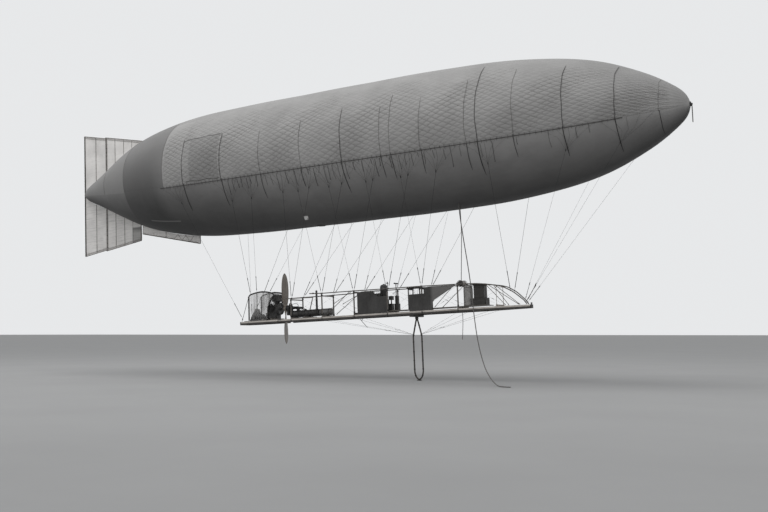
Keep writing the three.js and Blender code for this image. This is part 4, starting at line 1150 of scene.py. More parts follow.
def makeKeel():
    # cloth between the hull's belly and a straight boom below it
    x = np.linspace(keel["rear"], keel["front"], 110)
    ends = [-float(hullRadius(keel[end])) - keel["depth"] for end in ("rear", "front")]
    ends[1] += 0.05
    foot = np.interp(x, [keel["rear"], keel["front"]], ends)
    top = -(hullRadius(x) + 0.004)
    s = np.linspace(0, 1, 14)[:, None]
    z = foot[None, :] * (1 - s) + top[None, :] * s
    folds = 0.004 * np.sin(x * 41)[None, :] * np.sin(np.pi * s)
    folds = folds + 0.003 * np.sin(x * 17 + 1)[None, :] * (1 - s)
    grid = np.stack([np.broadcast_to(x, z.shape), folds, z], -1)
    cloth = makePiece("keel_sheet", thinSheet(grid, 0.003), "airship", looks["keel"])
    round(area(grid), 3)
    shapes = [swept(np.stack([x, 0 * x, foot], -1)[::4], ring(0.016, 10))]
    for place in (keel["rear"], -8.0, keel["front"]):
        low = float(np.interp(place, x, foot))
        shapes.append(rod([place, 0, low], [place, 0, -float(hullRadius(place)) - 0.001], 0.012, 10))
    # lacing: small turns along the boom, and a long zigzag between hull and boom over the front part
    knots = np.arange(keel["rear"] + 0.04, keel["front"] - 0.02, 0.07)
    long = np.arange(-7.62, keel["front"] - 0.15, 0.185)
    for face in (-1, 1):
        high = np.interp(knots, x, foot) + np.where(np.arange(len(knots)) % 2, 0.05, 0.0)
        zig = np.stack([knots, 0 * knots + face * 0.014, high], -1)
        shapes += [rod(a, b, 0.0022, 4) for a, b in zip(zig[:-1], zig[1:])]
        high = np.where(np.arange(len(long)) % 2, -hullRadius(long) - 0.02, np.interp(long, x, foot) + 0.01)
        cross = np.stack([long, 0 * long + face * 0.012, high], -1)
        shapes += [rod(a, b, 0.0045, 5) for a, b in zip(cross[:-1], cross[1:])]
    boom = makePiece("keel_boom", merged(*shapes), "airship", looks["finSpar"])
    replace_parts(boom, "keel_cloth")


makeFin("top")
makeFin("bottom")
makeRudder()
makeKeel()
print("tail made")


# girder: rails, hoops, beams and posts

def straightPath(rows, side):
    return np.array([(x, side * y, h - girder["drop"]) for x, h, y in rows])


def sleeve(at, way, radius, long, sides=10):
    # a short socket with rolled ends round a tube
    r, h = radius, long / 2
    profile = [(-h, r), (-h, r + 0.003), (-h + 0.004, r + 0.005), (-h + 0.01, r + 0.003),
               (h - 0.01, r + 0.003), (h - 0.004, r + 0.005), (h, r + 0.003), (h, r)]
    return lathe(profile, at, way, sides)


def wire(a, b, radius=0.0016, screw=True):
    # a bracing wire with a turnbuckle nearly a third of the way along
    a, b = np.asarray(a, float), np.asarray(b, float)
    way = unit(b - a)
    shapes = [rod(a, b, radius, 4)]
    if screw:
        barrel = [(-0.05, 0.002), (-0.045, 0.005), (-0.02, 0.006), (0.02, 0.006), (0.045, 0.005),
                  (0.05, 0.002)]
        shapes.append(lathe(barrel, a + (b - a) * 0.3, way, 6))
    return shapes


frameXs = [girder["firstFrame"] + girder["bay"] * i for i in range(7)]
braces = [(-0.03, -0.95, 0.19), (0.06, -0.70, 0.52), (4.76, 5.64, 0.135), (4.70, 5.25, 0.135),
          (3.70, 2.96, 0.20)]


def sideRail(x, side):
    # the middle of whichever rail stands over x on that side
    if side < 0 and x < -1.6:
        return railPoint(lowRail, x, side)
    return railPoint(rails["port" if side > 0 else "starboard"], x, side)


def makeRails(name, side):
    rows = rails[name]
    line = straightPath(rows, side)
    ahead = line[len(rows) - len(railAhead):]
    first = line[:len(rows) - len(railAhead) + 1]
    bow = resampled(ahead[3:], 60)
    path = np.vstack([np.linspace(a, b, 10)[:-1] for a, b in zip(first[:-1], first[1:])]
                     + [np.linspace(a, b, 10)[:-1] for a, b in zip(ahead[:3], ahead[1:4])] + [bow])
    shapes = [swept(path, ring(girder["railRadius"], 12))]
    for x in frameXs[1:] + ([] if side < 0 else [frameXs[0]]):
        p = sideRail(x, side)
        q = sideRail(x + 0.05, side)
        shapes.append(sleeve(p, q - p, girder["railRadius"], 0.075))
    for top, foot, height in braces:
        a = railPoint(rows, top, side)
        b = np.array([foot, side * (railPoint(rows, foot, 1)[1] - 0.08), height - girder["drop"]])
        shapes.append(rod(a - [0, side * 0.006, 0], b, 0.009, 10))
        shapes.append(sleeve(b + unit(a - b) * 0.03, a - b, 0.009, 0.05, 8))
    if side < 0:
        finial = [(0, 0.011), (0.152, 0.009), (0.156, 0.030), (0.160, 0.036), (0.180, 0.029),
                  (0.205, 0.012), (0.226, 0.005)]
        shapes.append(lathe(finial, railPoint(rows, 1.368, side), [0, 0, 1], 16))
        knob = [(-0.035, 0.012), (-0.030, 0.021), (-0.015, 0.024), (0.015, 0.024), (0.030, 0.021),
                (0.035, 0.012)]
        shapes.append(lathe(knob, railPoint(rows, -1.44, side) + [0, 0, 0.004], [1, 0, 0], 16))
        shapes.append(lathe([(0, 0.016), (0.006, 0.013), (0.008, 0.004)], line[0], [-1, 0, 0], 12))
    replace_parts(makePiece("rail_" + name, merged(*shapes), "airship", looks["rail"]), "boom_" + name)


def makeHoop(name, side):
    line = straightPath(hoop, side)
    path = np.vstack([line[:1], resampled(line[1:12], 80), line[-1:]])
    shapes = [swept(path, ring(girder["hoopRadius"], 14))]
    x = -3.72
    y = side * girder["half"]
    head = railPoint(hoop[1:9], x, side)
    shapes.append(rod([x, y, 0.1103 + under], head, 0.015, 12))
    shapes.append(rod([-4.45, side * 0.262, 0.124 + under], [-4.066, y, 0.95 + under], 0.008, 10))
    for at, height, way in ((-4.065, 0.60, (0, 0, 1)), (-4.066, 0.93, (0, 0, 1)),
                            (-3.275, 0.50, (0.05, 0, 1)), (-3.5, 1.086, (1, 0, 0))):
        shapes.append(sleeve([at, y, height + under], way, girder["hoopRadius"], 0.05, 14))
    shapes.append(sleeve([x, y, 0.16 + under], (0, 0, 1), 0.015, 0.06))
    shapes.append(sleeve(head - [0, 0, 0.045], (0, 0, 1), 0.015, 0.05))
    # the gauze is laced round the hoop
    for k in range(4, 78, 2):
        shapes.append(sleeve(path[k], path[k + 1] - path[k], girder["hoopRadius"] - 0.002, 0.012, 10))
    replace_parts(makePiece("hoop_" + name, merged(*shapes), "airship", looks["hoop"]),
                "stern_frame_" + name)


def makeFittings():
    # shoes, caps and straps where posts, bearers and beams meet, with bolt heads
    shapes = []
    wide = 0.019
    boltHead = [(0, 0.009), (0.005, 0.009), (0.006, 0.007), (0.0062, 0.001)]
    pinHead = [(0, 0.006), (0.004, 0.006), (0.0045, 0.001)]
    for x in frameXs[:6]:
        for _, side in sides:
            p = sideRail(x, side)
            y = p[1]
            shapes.append(box([x - 0.021, y - wide, 0.163 + under], [x + 0.021, y + wide, 0.215 + under]))
            shapes.append(box([x - 0.020, y - wide, p[2] - 0.085], [x + 0.020, y + wide, p[2] - 0.030]))
            # a strap down the beam's outer face, with two bolt heads
            face = y + side * 0.0305
            y0, y1 = sorted((face - side * 0.003, face))
            shapes.append(box([x - 0.014, y0, 0.004 + under], [x + 0.014, y1, 0.106 + under]))
            for z in (0.035, 0.078):
                shapes.append(lathe(boltHead, [x, face, z + under], [0, side, 0], 6))
            for z in (0.19, p[2] - under - 0.055):
                shapes.append(lathe(pinHead, [x, y + side * wide, z + under], [0, side, 0], 6))
    return merged(*shapes)


def makeWires():
    # crossed wires in each side bay, under the floor, and from the landing hoop up to the beams
    shapes = []
    low = 0.20 + under
    for a, b in zip(frameXs[:-1], frameXs[1:]):
        for _, side in sides:
            pa, pb = sideRail(a, side), sideRail(b, side)
            y = side * 0.352
            if side < 0 and b < 0 and a > -1.2:
                continue
            shapes += wire([a + 0.03, y, low], [b - 0.03, pb[1] * 0.98, pb[2] - 0.06])
            shapes += wire([b - 0.03, y, low], [a + 0.03, pa[1] * 0.98, pa[2] - 0.06])
        if a > -2:
            shapes += wire([a, -0.33, 0.104 + under], [b, 0.33, 0.104 + under], screw=False)
            shapes += wire([a, 0.33, 0.100 + under], [b, -0.33, 0.100 + under], screw=False)
    hoopX = floorPlace["foot"][0]
    waist = np.array([hoopX, 0, -0.66 + under])
    for x, y in ((-1.10, 0.355), (0.13, 0.355), (3.75, 0.355), (4.85, 0.300)):
        for way in (-1, 1):
            start = waist + [0.10 * np.sign(x - hoopX), 0, 0.04]
            shapes += wire(start, [x, way * y, -0.002 + under], 0.0026)
    return merged(*shapes)


looks["rail"] = makeWood("railTube", 104, 66, scale=22.0, rough=0.45, coat=0.2)
looks["hoop"] = makeMetal("hoopTube", 66, 40, metallic=0.55, rough=0.5)
for sideName, side in sides:
    makeRails(sideName, side)
    makeHoop(sideName, side)
makePiece("girder_fittings", makeFittings(), "airship", looks["iron"], smooth=False)
makePiece("bracing_wires", makeWires(), "airship", looks["wire"])
print("girder made")


# cloths of the girder

def panelGrid(outline, columns, rows):
    # a grid that fills an outline given as [x, height] rows, one upright line after another
    p = np.array(outline + outline[:1], float)
    x = np.linspace(p[:, 0].min() + 1e-4, p[:, 0].max() - 1e-4, columns)
    cuts = []
    for value in x:
        a, b = p[:-1], p[1:]
        hit = (a[:, 0] - value) * (b[:, 0] - value) <= 0
        hit &= np.abs(b[:, 0] - a[:, 0]) > 1e-9
        a, b = a[hit], b[hit]
        cuts.append(a[:, 1] + (b[:, 1] - a[:, 1]) * (value - a[:, 0]) / (b[:, 0] - a[:, 0]))
    low = np.array([c.min() for c in cuts])
    top = np.array([c.max() for c in cuts])
    s = np.linspace(0, 1, rows)[:, None]
    z = low[None, :] * (1 - s) + top[None, :] * s
    return np.broadcast_to(x, z.shape), z, low, top


clothOutlines = {
    "starboard": {
        "rear": [(0.250, 0.1103), (1.328, 0.1103), (1.328, 0.645), (1.010, 0.640), (0.930, 0.690),
                 (0.860, 0.815), (0.560, 0.835), (0.250, 0.800)],
        "front": [(2.130, 0.1103), (2.905, 0.1103), (2.945, 0.390), (3.700, 0.796), (3.730, 0.832),
                  (2.900, 0.838), (2.680, 0.826), (2.660, 0.640), (2.130, 0.632)],
    },
    "port": {
        "rear": [(0.250, 0.1103), (0.950, 0.1103), (0.950, 0.640), (0.700, 0.800), (0.250, 0.790)],
        "front": [(2.130, 0.1103), (2.540, 0.1103), (2.540, 0.640), (2.130, 0.632)],
    },
}


def makeSideCloth(where, name, side):
    outline = clothOutlines[name][where]
    x, z, low, top = panelGrid(outline, 120, 44)
    s = (z - low) / (top - low)
    # upright pleats, deeper towards the hem, slack along the laced top edge, and slanting creases
    pleats = 0.0055 * (1 + np.sin(x * 38 + 1.6 * np.sin(x * 9))) * (0.35 + 0.65 * (1 - s))
    slack = 0.004 * (1 + np.sin(x * 78)) * np.exp(-((1 - s) / 0.12) ** 2)
    creases = 0.003 * (1 + np.sin(7 * x + 16 * z)) * np.sin(np.pi * s)
    edge = np.clip(np.minimum(s, 1 - s) / 0.03, 0, 1)
    out = (pleats + slack + creases) * edge * 0.75
    y = side * (0.3795 + out)
    grid = np.stack([x, y, z - girder["drop"]], -1)
    sheet = thinSheet(grid, 0.0016)
    cloth = makePiece("side_sheet_%s_%s" % (where, name), sheet, "airship", looks["canvas"])
    shapes = []
    for edgeRow, lift in ((0, 1), (-1, -1)):
        path = grid[edgeRow] + [0, side * 0.001, lift * 0.006]
        shapes.append(swept(path[::3], flatSection(0.009, 0.0016), hint=(0, side, 0)))
    for k in (1, -2):
        shapes.append(swept(grid[::3, k], flatSection(0.009, 0.0022), hint=(0, side, 0)))
    # eyelets along the top hem, and lacing up to the rail where the cloth hangs lower
    eyes = np.arange(x[0, 0] + 0.04, x[0, -1] - 0.02, 0.085)
    for n, eye in enumerate(eyes):
        edgeTop = float(np.interp(eye, x[0], top)) - girder["drop"]
        p = railPoint(rails[name], eye + (0.03 if n % 2 else -0.03), side)
        if p[2] - edgeTop > 0.03:
            a = [eye, side * 0.383, edgeTop - 0.012]
            shapes += [rod(a, p + [step, side * 0.014, -0.012], 0.0022, 4) for step in (0, 0.05)]
        spot = [eye, side * 0.3835, edgeTop - 0.014]
        shapes.append(lathe([(0, 0.009), (0.002, 0.009), (0.003, 0.005)], spot, [0, side, 0], 8))
    hem = makePiece("side_hem_%s_%s" % (where, name), merged(*shapes), "airship", looks["hem"])
    flat = (round(float(np.ptp(x)) * 1.012, 3), round(float((top - low).max()) * 1.012, 3))
    round(area(grid), 3)
    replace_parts(cloth, "side_cloth_%s_%s" % (where, name))


screenOutline = [
    (-4.060, 0.1103), (-3.300, 0.1103), (-3.290, 0.540), (-3.160, 0.790), (-3.052, 0.925),
    (-3.075, 0.975), (-3.170, 1.015), (-3.300, 1.045), (-3.500, 1.064), (-3.700, 1.052), (-3.890, 1.017),
    (-3.995, 0.985), (-4.045, 0.930)]


def makeScreen(name, side):
    x, z, low, top = panelGrid(screenOutline, 110, 60)
    s = (z - low) / (top - low)
    out = 0.0045 * (1 + np.sin(x * 33 + 1.2 * np.sin(6 * z))) * np.sin(np.pi * s) ** 0.5 * 0.6
    grid = np.stack([x, side * (0.383 + out), z - girder["drop"]], -1)
    gauze = makePiece("gauze_" + name, thinSheet(grid, 0.0012), "airship", looks["gauze"])
    flat = (round(float(np.ptp(x)) * 1.01, 3), round(float((top - low).max()) * 1.01, 3))
    round(area(grid), 3)
    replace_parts(gauze, "stern_screen_" + name)


def makeGauzeLook():
    # thin gauze: see-through, with upright streaks, and thinner towards its foot
    material, t, shader, place = startMaterial("gauzeCloth", sheen=0.2)
    streak = t.noise(t.stretched(place, (1.0, 1.0, 0.12)), 9.0, 5.0, 0.65)
    fine = t.noise(t.stretched(place, (1.0, 1.0, 0.12)), 60.0, 3.0, 0.6)
    both = t.math("MULTIPLY_ADD", fine, 0.35, streak)
    colour = t.mix(streak, srgb(190, 0.02), srgb(150, 0.02))
    finishMaterial(t, shader, colour, t.ramp(fine, 0, 1, (0.75, 0.95)), fine, 0.2, 0.001)
    low = t.ramp(t.add("SeparateXYZ", {0: place}).outputs[2], -5.20, -4.90, (0.25, 1.0))
    cover = t.math("MULTIPLY", t.ramp(both, 0.45, 0.95, (0.10, 0.62)), low)
    t.tree.links.new(cover, shader.inputs["Alpha"])
    return material


looks["gauze"] = makeGauzeLook()
for sideName, side in sides:
    makeSideCloth("rear", sideName, side)
    makeSideCloth("front", sideName, side)
    makeScreen(sideName, side)
print("cloths made")


# timber and cases that keep the CAD solid's own shape, with joined faces and softened edges

def dressed(name, nodeNames, material, width=0.0015, body="airship"):
    # copies of the solids, merged, their flat faces joined, with a small bevel on every edge
    work = bmesh.new()
    for nodeName in nodeNames:
        work.from_mesh(nodes[nodeName].data)
    bmesh.ops.remove_doubles(work, verts=work.verts, dist=1e-5)
    bmesh.ops.dissolve_limit(work, angle_limit=math.radians(0.6), verts=work.verts, edges=work.edges)
    mesh = bpy.data.meshes.new(name)
    work.to_mesh(mesh)
    work.free()
    mesh.polygons.foreach_set("use_smooth", np.ones(len(mesh.polygons), bool))
    mesh.set_sharp_from_angle(angle=math.radians(32))
    mesh.materials.clear()
    mesh.materials.append(material)
    piece = bpy.data.objects.new(name, mesh)
    bpy.context.scene.collection.objects.link(piece)
    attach(piece, body)
    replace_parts(piece, *nodeNames)
    return bevelled(piece, width, angle=32) if width else piece


def makeBeamLook():
    # dark varnished side, with a paler strip along the top that is a painted highlight, as if lit from
    # above
    material, t, shader, place = startMaterial("beamTimber", coat=0.1)
    grain = useGroup(t, "grain", {"Vector": place, "Scale": 10.0})
    wear = useGroup(t, "wear", {"Vector": place, "Scale": 3.0})
    high = t.add("SeparateXYZ", {0: place}).outputs[2]
    # painted highlight: the top of the beam is paler, its lower edge made ragged by the grain
    ragged = t.math("MULTIPLY_ADD", grain["Tone"], 0.012, high)
    top = t.ramp(ragged, -5.340, -5.328)
    side = t.mix(t.ramp(grain["Tone"], 0.3, 0.7), srgb(66, 0.1), srgb(44, 0.1))
    litTopStrip = t.mix(t.ramp(grain["Tone"], 0.3, 0.7), srgb(206, 0.08), srgb(176, 0.08))
    colour = t.mix(top, side, litTopStrip)
    colour = t.mix(t.math("MULTIPLY", wear["Grime"], 0.3), colour, srgb(40, 0.1))
    colour = t.mix(t.math("MULTIPLY", wear["Spots"], 0.25), colour, srgb(170, 0.1))
    roughness = t.ramp(wear["Grime"], 0, 1, (0.55, 0.8))
    finishMaterial(t, shader, colour, roughness, grain["Height"], 0.3, 0.0012)
    return material


def makeLaminateLook():
    # glued layers across the propeller's shaft, each a little different, with long fibres along the blade
    material, t, shader, place = startMaterial("laminatedWalnut", coat=0.35)
    grain = useGroup(t, "grain", {"Vector": place, "Scale": 20.0, "Along": (1.0, 1.0, 0.05)})
    x = t.add("SeparateXYZ", {0: place}).outputs[0]
    layer = t.math("SINE", t.math("MULTIPLY", x, 340.0))
    colour = t.mix(t.ramp(grain["Tone"], 0.3, 0.7), srgb(128, 0.16), srgb(100, 0.16))
    colour = t.mix(t.ramp(layer, -0.15, 0.15, (0.0, 0.35)), colour, srgb(84, 0.16))
    colour = t.mix(t.math("MULTIPLY", grain["Pores"], 0.45), colour, srgb(52, 0.16))
    finishMaterial(t, shader, colour, t.ramp(grain["Tone"], 0, 1, (0.3, 0.5)), grain["Height"], 0.2, 0.0008)
    return material


def makeTankLook(name, light, dark):
    # tinned sheet, dull, with stains that run down the sides
    material, t, shader, place = startMaterial(name, metallic=0.45)
    wear = useGroup(t, "wear", {"Vector": place, "Scale": 5.0})
    runs = t.noise(t.stretched(place, (1.0, 0.4, 0.12)), 16.0, 4.0, 0.6)
    colour = t.mix(t.ramp(runs, 0.4, 0.7), srgb(light, 0.02), srgb(dark, 0.02))
    colour = t.mix(t.math("MULTIPLY", wear["Grime"], 0.5), colour, srgb(dark * 0.7, 0.03))
    colour = t.mix(t.math("MULTIPLY", wear["Spots"], 0.25), colour, srgb(light * 1.3, 0.02))
    finishMaterial(t, shader, colour, t.ramp(wear["Grime"], 0, 1, (0.35, 0.65)), runs, 0.2, 0.002)
    return material


looks["beam"] = makeBeamLook()
looks["laminate"] = makeLaminateLook()
looks["darkTank"] = makeTankLook("darkTinnedSheet", 74, 48)
looks["tank"] = makeTankLook("tinnedSheet", 118, 82)
for sideName, side in sides:
    dressed("lower_beam_" + sideName, ["beam_" + sideName], looks["beam"], 0.003)
    dressed("stern_timber_" + sideName, ["stern_beam_" + sideName], looks["beam"], 0.003)
for n in range(6):
    dressed("cross_frame_%d" % (n + 1), ["frame_%d" % (n + 1)], looks["ashUpright"], 0.0015)


def makeBowFrame():
    # the foremost frame is slighter: two thin tubes on a bearer, with a thin tie
    x = frameXs[6]
    p, q = sideRail(x, 1), sideRail(x, -1)
    shapes = [box([x - 0.025, -0.285, 0.1103 + under], [x + 0.025, 0.285, 0.1603 + under]),
              rod([x, -p[1], p[2] - 0.045], [x, p[1], p[2] - 0.045], 0.007, 10)]
    for top in (p, q):
        shapes.append(rod([x, top[1], 0.160 + under], top - [0, 0, 0.010], 0.008, 12))
        shapes.append(lathe([(0, 0.020), (0.006, 0.020), (0.012, 0.012), (0.03, 0.011)],
                            [x, top[1], 0.1603 + under], [0, 0, 1], 14))
    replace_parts(makePiece("cross_frame_7", merged(*shapes), "airship", looks["paleTube"]), "frame_7")


makeBowFrame()
dressed("bow_fitting", ["bow_block"], looks["darkWood"], 0.002)
dressed("stern_crosspiece", ["stern_block"], looks["darkWood"], 0.003)
dressed("rear_bearer", ["engine_bearer_rear"], looks["ashAcross"], 0.003)
dressed("front_bearer", ["engine_bearer_front"], looks["ashAcross"], 0.003)
dressed("cradle_timber", ["tank_cradle"], looks["ashAcross"], 0.003)
dressed("skid_crosspiece", ["skid_bracket"], looks["darkWood"], 0.003)
dressed("rear_seat_frame", ["seat_rear"], looks["darkWood"], 0.003)
dressed("pilot_seat_frame", ["seat_pilot"], looks["darkWood"], 0.003)
dressed("upright_casing", ["upright_case"], looks["iron"], 0.004)
dressed("stern_casing", ["stern_case"], looks["iron"], 0.004)
dressed("controls_casing", ["control_case"], looks["darkWood"], 0.003)
dressed("lever_and_bar", ["control_lever"], looks["iron"], 0)
dressed("engine_castings", ["engine"], looks["greyIron"], 0.0025)
dressed("bearing_casting", ["shaft_bearing"], looks["iron"], 0.002)
dressed("box_carcass", ["instrument_box"], looks["darkWood"], 0.003)
print("timber and cases dressed")


# floor, deck and small fittings

def planks(x0, x1, half, low, high, count):
    # boards side by side, each a little different in height
    width, gap = 2 * half / count, 0.002
    shapes = []
    for n in range(count):
        y = -half + n * width
        drop = 0.0012 * ((n * 7) % 3)
        shapes.append(box([x0, y + gap / 2, low], [x1, y + width - gap / 2, high - drop]))
    return shapes


def nails(xs, ys, z):
    radius = 0.004
    head = [(0, radius), (0.0012, radius * 0.8), (0.0014, 0.0004)]
    return [lathe(head, [x, y, z], [0, 0, 1], 5) for x in xs for y in ys]


def makeFloorBoards():
    decks = (("floor_planks", "floor_boards", (0.06, 4.70), 0.30, (0.1606, 0.180), 6),
             ("stern_planks", "stern_deck", (-4.35, -3.59), 0.27, (0.1103, 0.1303), 5))
    for name, node, (x0, x1), half, (low, high), count in decks:
        boards = merged(*planks(x0, x1, half, low + under, high + under, count))
        piece = makePiece(name, boards, "airship", looks["ash"], smooth=False)
        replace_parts(bevelled(piece, 0.0015), node)
    ys = [(-0.25 + 0.1 * n) + d for n in range(6) for d in (-0.03, 0.03)]
    heads = nails([x for x in frameXs if 0.05 < x < 4.7], ys, 0.1788 + under)
    heads += nails([-4.3, -3.97, -3.62], [-0.216 + 0.108 * n for n in range(5)], 0.1291 + under)
    return merged(*heads)


makePiece("floor_nails", makeFloorBoards(), "airship", looks["iron"])


def tankShape(x0, x1, radius, shoulder, middle):
    # a rolled drum with raised rings; its ends are dished with a rim, or flat with a rounded shoulder
    if shoulder < 0.02:
        rows = [(0.020, 0.0005), (0.016, radius * 0.45), (0.008, radius * 0.75), (0.006, radius - 0.016),
                (0.0, radius - 0.013), (0.0, radius - 0.004), (0.006, radius)]
    else:
        turn = np.linspace(0, np.pi / 2, 8)[1:-1]
        rows = [(0.0, 0.0005), (0.0, radius - shoulder)]
        rows += [(shoulder * (1 - np.cos(t)), radius - shoulder + shoulder * np.sin(t)) for t in turn]
        rows.append((shoulder, radius))
    start = np.array(rows)
    long = x1 - x0
    rings = []
    for at in np.arange(0.09, long - 0.05, 0.265):
        rings += [(at + step, r) for step, r in bead(0.009, 0.005, radius, radius + 0.0025)]
    end = start[::-1] * [-1, 1] + [long, 0]
    return lathe(np.vstack([start, np.array(rings), end]), [x0, 0, middle + under], [1, 0, 0], 56)


def makeTanks():
    rear = [tankShape(-2.56, -1.425, 0.118, 0.014, 0.2786)]
    crown = 0.3966 + under
    standpipe = [(-0.02, 0.052), (0.004, 0.052), (0.010, 0.046), (0.014, 0.036), (0.30, 0.034),
                 (0.306, 0.039), (0.316, 0.039), (0.322, 0.034), (0.600, 0.034), (0.604, 0.040),
                 (0.614, 0.040), (0.616, 0.012), (0.634, 0.012), (0.634, 0.001)]
    rear.append(lathe(standpipe, [-1.538, 0, crown], [0, 0, 1], 28))
    filler = [(-0.03, 0.045), (0.012, 0.045), (0.014, 0.052), (0.026, 0.052), (0.030, 0.040),
              (0.038, 0.034), (0.040, 0.001)]
    rear.append(lathe(filler, [-2.0, 0, crown], [0, 0, 1], 24))
    front = [tankShape(-1.395, -0.93, 0.120, 0.042, 0.2806)]
    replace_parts(makePiece("rear_tank", merged(*rear), "airship", looks["darkTank"]),
                "tank_rear")
    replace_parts(makePiece("front_tank", merged(*front), "airship", looks["tank"]),
                "tank_front")
    valve = [box([-2.284, -0.110, 0.330 + under], [-2.192, -0.036, 0.486 + under]),
             box([-2.286, -0.112, 0.488 + under], [-2.190, -0.034, 0.512 + under])]
    valveBox = makePiece("valve_box", merged(*valve), "airship", looks["iron"], smooth=False)
    bevelled(valveBox, 0.003, 2)
    straps = []
    for x in (-2.45, -1.805, -1.49, -1.30, -1.02):
        turn = np.linspace(-0.15 * np.pi, 1.15 * np.pi, 40)
        r = 0.1215 if x > -1.4 else 0.1195
        middle = (0.2806 if x > -1.4 else 0.2786) + under
        path = np.stack([0 * turn + x, r * np.cos(turn), middle + r * np.sin(turn)], -1)
        straps.append(ribbon(path, path - [x, 0, middle], 0.026, 0.0022))
        for way in (1, -1):
            straps.append(box([x - 0.016, way * 0.108 - 0.012, 0.1606 + under],
                              [x + 0.016, way * 0.108 + 0.012, 0.235 + under]))
            straps.append(lathe([(0, 0.007), (0.006, 0.007), (0.008, 0.002)], [x, way * 0.120, 0.2 + under],
                                [0, way, 0], 6))
    pipe = resampled([(-2.24, -0.07, -4.90), (-2.24, -0.07, -4.82), (-2.30, -0.10, -4.78),
                      (-2.45, -0.16, -4.80), (-2.56, -0.20, -4.86)], 30)
    thinPipe = resampled([(-2.0, -0.02, -4.965), (-2.05, -0.05, -4.93), (-2.12, -0.06, -4.95),
                          (-2.19, -0.06, -4.96)], 20)
    pipes = [swept(pipe, ring(0.008, 8)), swept(thinPipe, ring(0.006, 8))]
    makePiece("tank_straps", merged(*straps, *pipes), "airship", looks["iron"])


makeTanks()
print("floor and tanks made")


# propeller, shaft and flywheel

blade = {
    "pitch": 0.900,
    # radius, chord, thickness
    "sections": [
        (0.020, 0.110, 0.070), (0.090, 0.125, 0.064), (0.200, 0.190, 0.046), (0.380, 0.270, 0.032),
        (0.600, 0.322, 0.024), (0.820, 0.318, 0.018), (1.000, 0.262, 0.014), (1.110, 0.180, 0.010),
        (1.170, 0.096, 0.008), (1.195, 0.024, 0.004)],
    "hub": (-2.80, 0.490 + under),
}


def makeBlade():
    # at each radius a section, flat on the face and arched on the back, turned to one screw's pitch
    rows = resampled(blade["sections"], 72)
    turn = 2 * np.pi * np.arange(36) / 36
    r, chord, thick = rows[:, :1], rows[:, 1:2], rows[:, 2:3]
    flat = np.clip((r - 0.15) / 0.3, 0, 1)
    u = chord / 2 * np.cos(turn)
    lift = np.sin(turn)
    v = thick / 2 * np.where(lift < 0, lift * (1 - 0.55 * flat), lift) * (1 - 0.12 * flat * np.cos(turn))
    angle = np.arctan(blade["pitch"] / (2 * np.pi * np.maximum(r, 0.09)))
    x = u * np.sin(angle) + v * np.cos(angle)
    y = u * np.cos(angle) - v * np.sin(angle)
    z = np.broadcast_to(r, x.shape)
    points = np.stack([x, y, z], -1).reshape(-1, 3)
    return points, tubeFaces(len(rows), len(turn))


def makePropeller():
    upper = outward(makeBlade())
    lower = upper[0] * np.array([1.0, -1.0, -1.0]), upper[1]
    hubRim = [(-0.052, 0.001), (-0.052, 0.066), (-0.046, 0.076), (-0.036, 0.080)]
    hubRim += [(-x, r) for x, r in hubRim[::-1]]
    hub = lathe(hubRim, [0, 0, 0], [1, 0, 0], 48)
    at = [blade["hub"][0], 0, blade["hub"][1]]
    whole = moved(merged(upper, lower, outward(hub)), at)
    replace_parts(makePiece("airscrew", whole, "propeller", looks["laminate"]), "propeller")
    # a plate and eight bolts on each face of the hub
    plate = [(0.051, 0.026), (0.051, 0.072), (0.054, 0.074), (0.058, 0.072), (0.060, 0.068),
             (0.060, 0.034), (0.060, 0.026)]
    plates = []
    for way in (-1, 1):
        plates.append(lathe(plate, at, [way, 0, 0], 40))
        for k in range(8):
            a = 2 * np.pi * (k + 0.5) / 8
            spot = np.array(at) + [way * 0.056, 0.054 * np.cos(a), 0.054 * np.sin(a)]
            plates.append(lathe([(0, 0.0075), (0.0035, 0.0075), (0.0038, 0.001)], spot, [way, 0, 0], 6))
    makePiece("hub_plates", merged(*plates), "propeller", looks["iron"])
    x, z = at[0], at[2]
    shaft = [(-0.2645, 0.001), (-0.2645, 0.022), (-0.2615, 0.025), (0.512, 0.025), (0.515, 0.022),
             (0.515, 0.001)]
    turned = [lathe(shaft, at, [1, 0, 0], 36)]
    for spot in (-0.075, 0.075):
        turned.append(lathe(bead(0.011, 0.009, 0.025, 0.036), [x + spot, 0, z], [1, 0, 0], 36))
    shaftPiece = makePiece("turned_shaft", merged(*turned), "propeller", looks["steel"])
    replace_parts(shaftPiece, "propeller_shaft")
    wheelRim = [(-0.025, 0.026), (-0.025, 0.055), (-0.020, 0.060), (-0.010, 0.064), (-0.008, 0.150),
                (-0.014, 0.164), (-0.023, 0.170), (-0.025, 0.175), (-0.025, 0.201), (-0.022, 0.205),
                (0.022, 0.205), (0.025, 0.201), (0.025, 0.175), (0.023, 0.170), (0.014, 0.164),
                (0.008, 0.150), (0.010, 0.064), (0.020, 0.060), (0.025, 0.055), (0.025, 0.026)]
    wheel = [lathe(wheelRim, [x - 0.21, 0, z], [1, 0, 0], 64)]
    for k in range(6):
        a = 2 * np.pi * k / 6
        spot = [x - 0.185, 0.042 * np.cos(a), z + 0.042 * np.sin(a)]
        wheel.append(lathe([(0, 0.010), (0.006, 0.010), (0.008, 0.002)], spot, [1, 0, 0], 6))
    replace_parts(makePiece("turned_flywheel", merged(*wheel), "propeller", looks["greyIron"]),
                "flywheel")


makePropeller()
print("propeller made")


# engine fittings, drum, column and box, landing hoop and nose

def hexes(spots, way, radius=0.007, high=0.006):
    head = [(0, radius), (high, radius), (high + 0.001, radius * 0.7), (high + 0.0012, 0.0006)]
    return [lathe(head, s, way, 6) for s in spots]


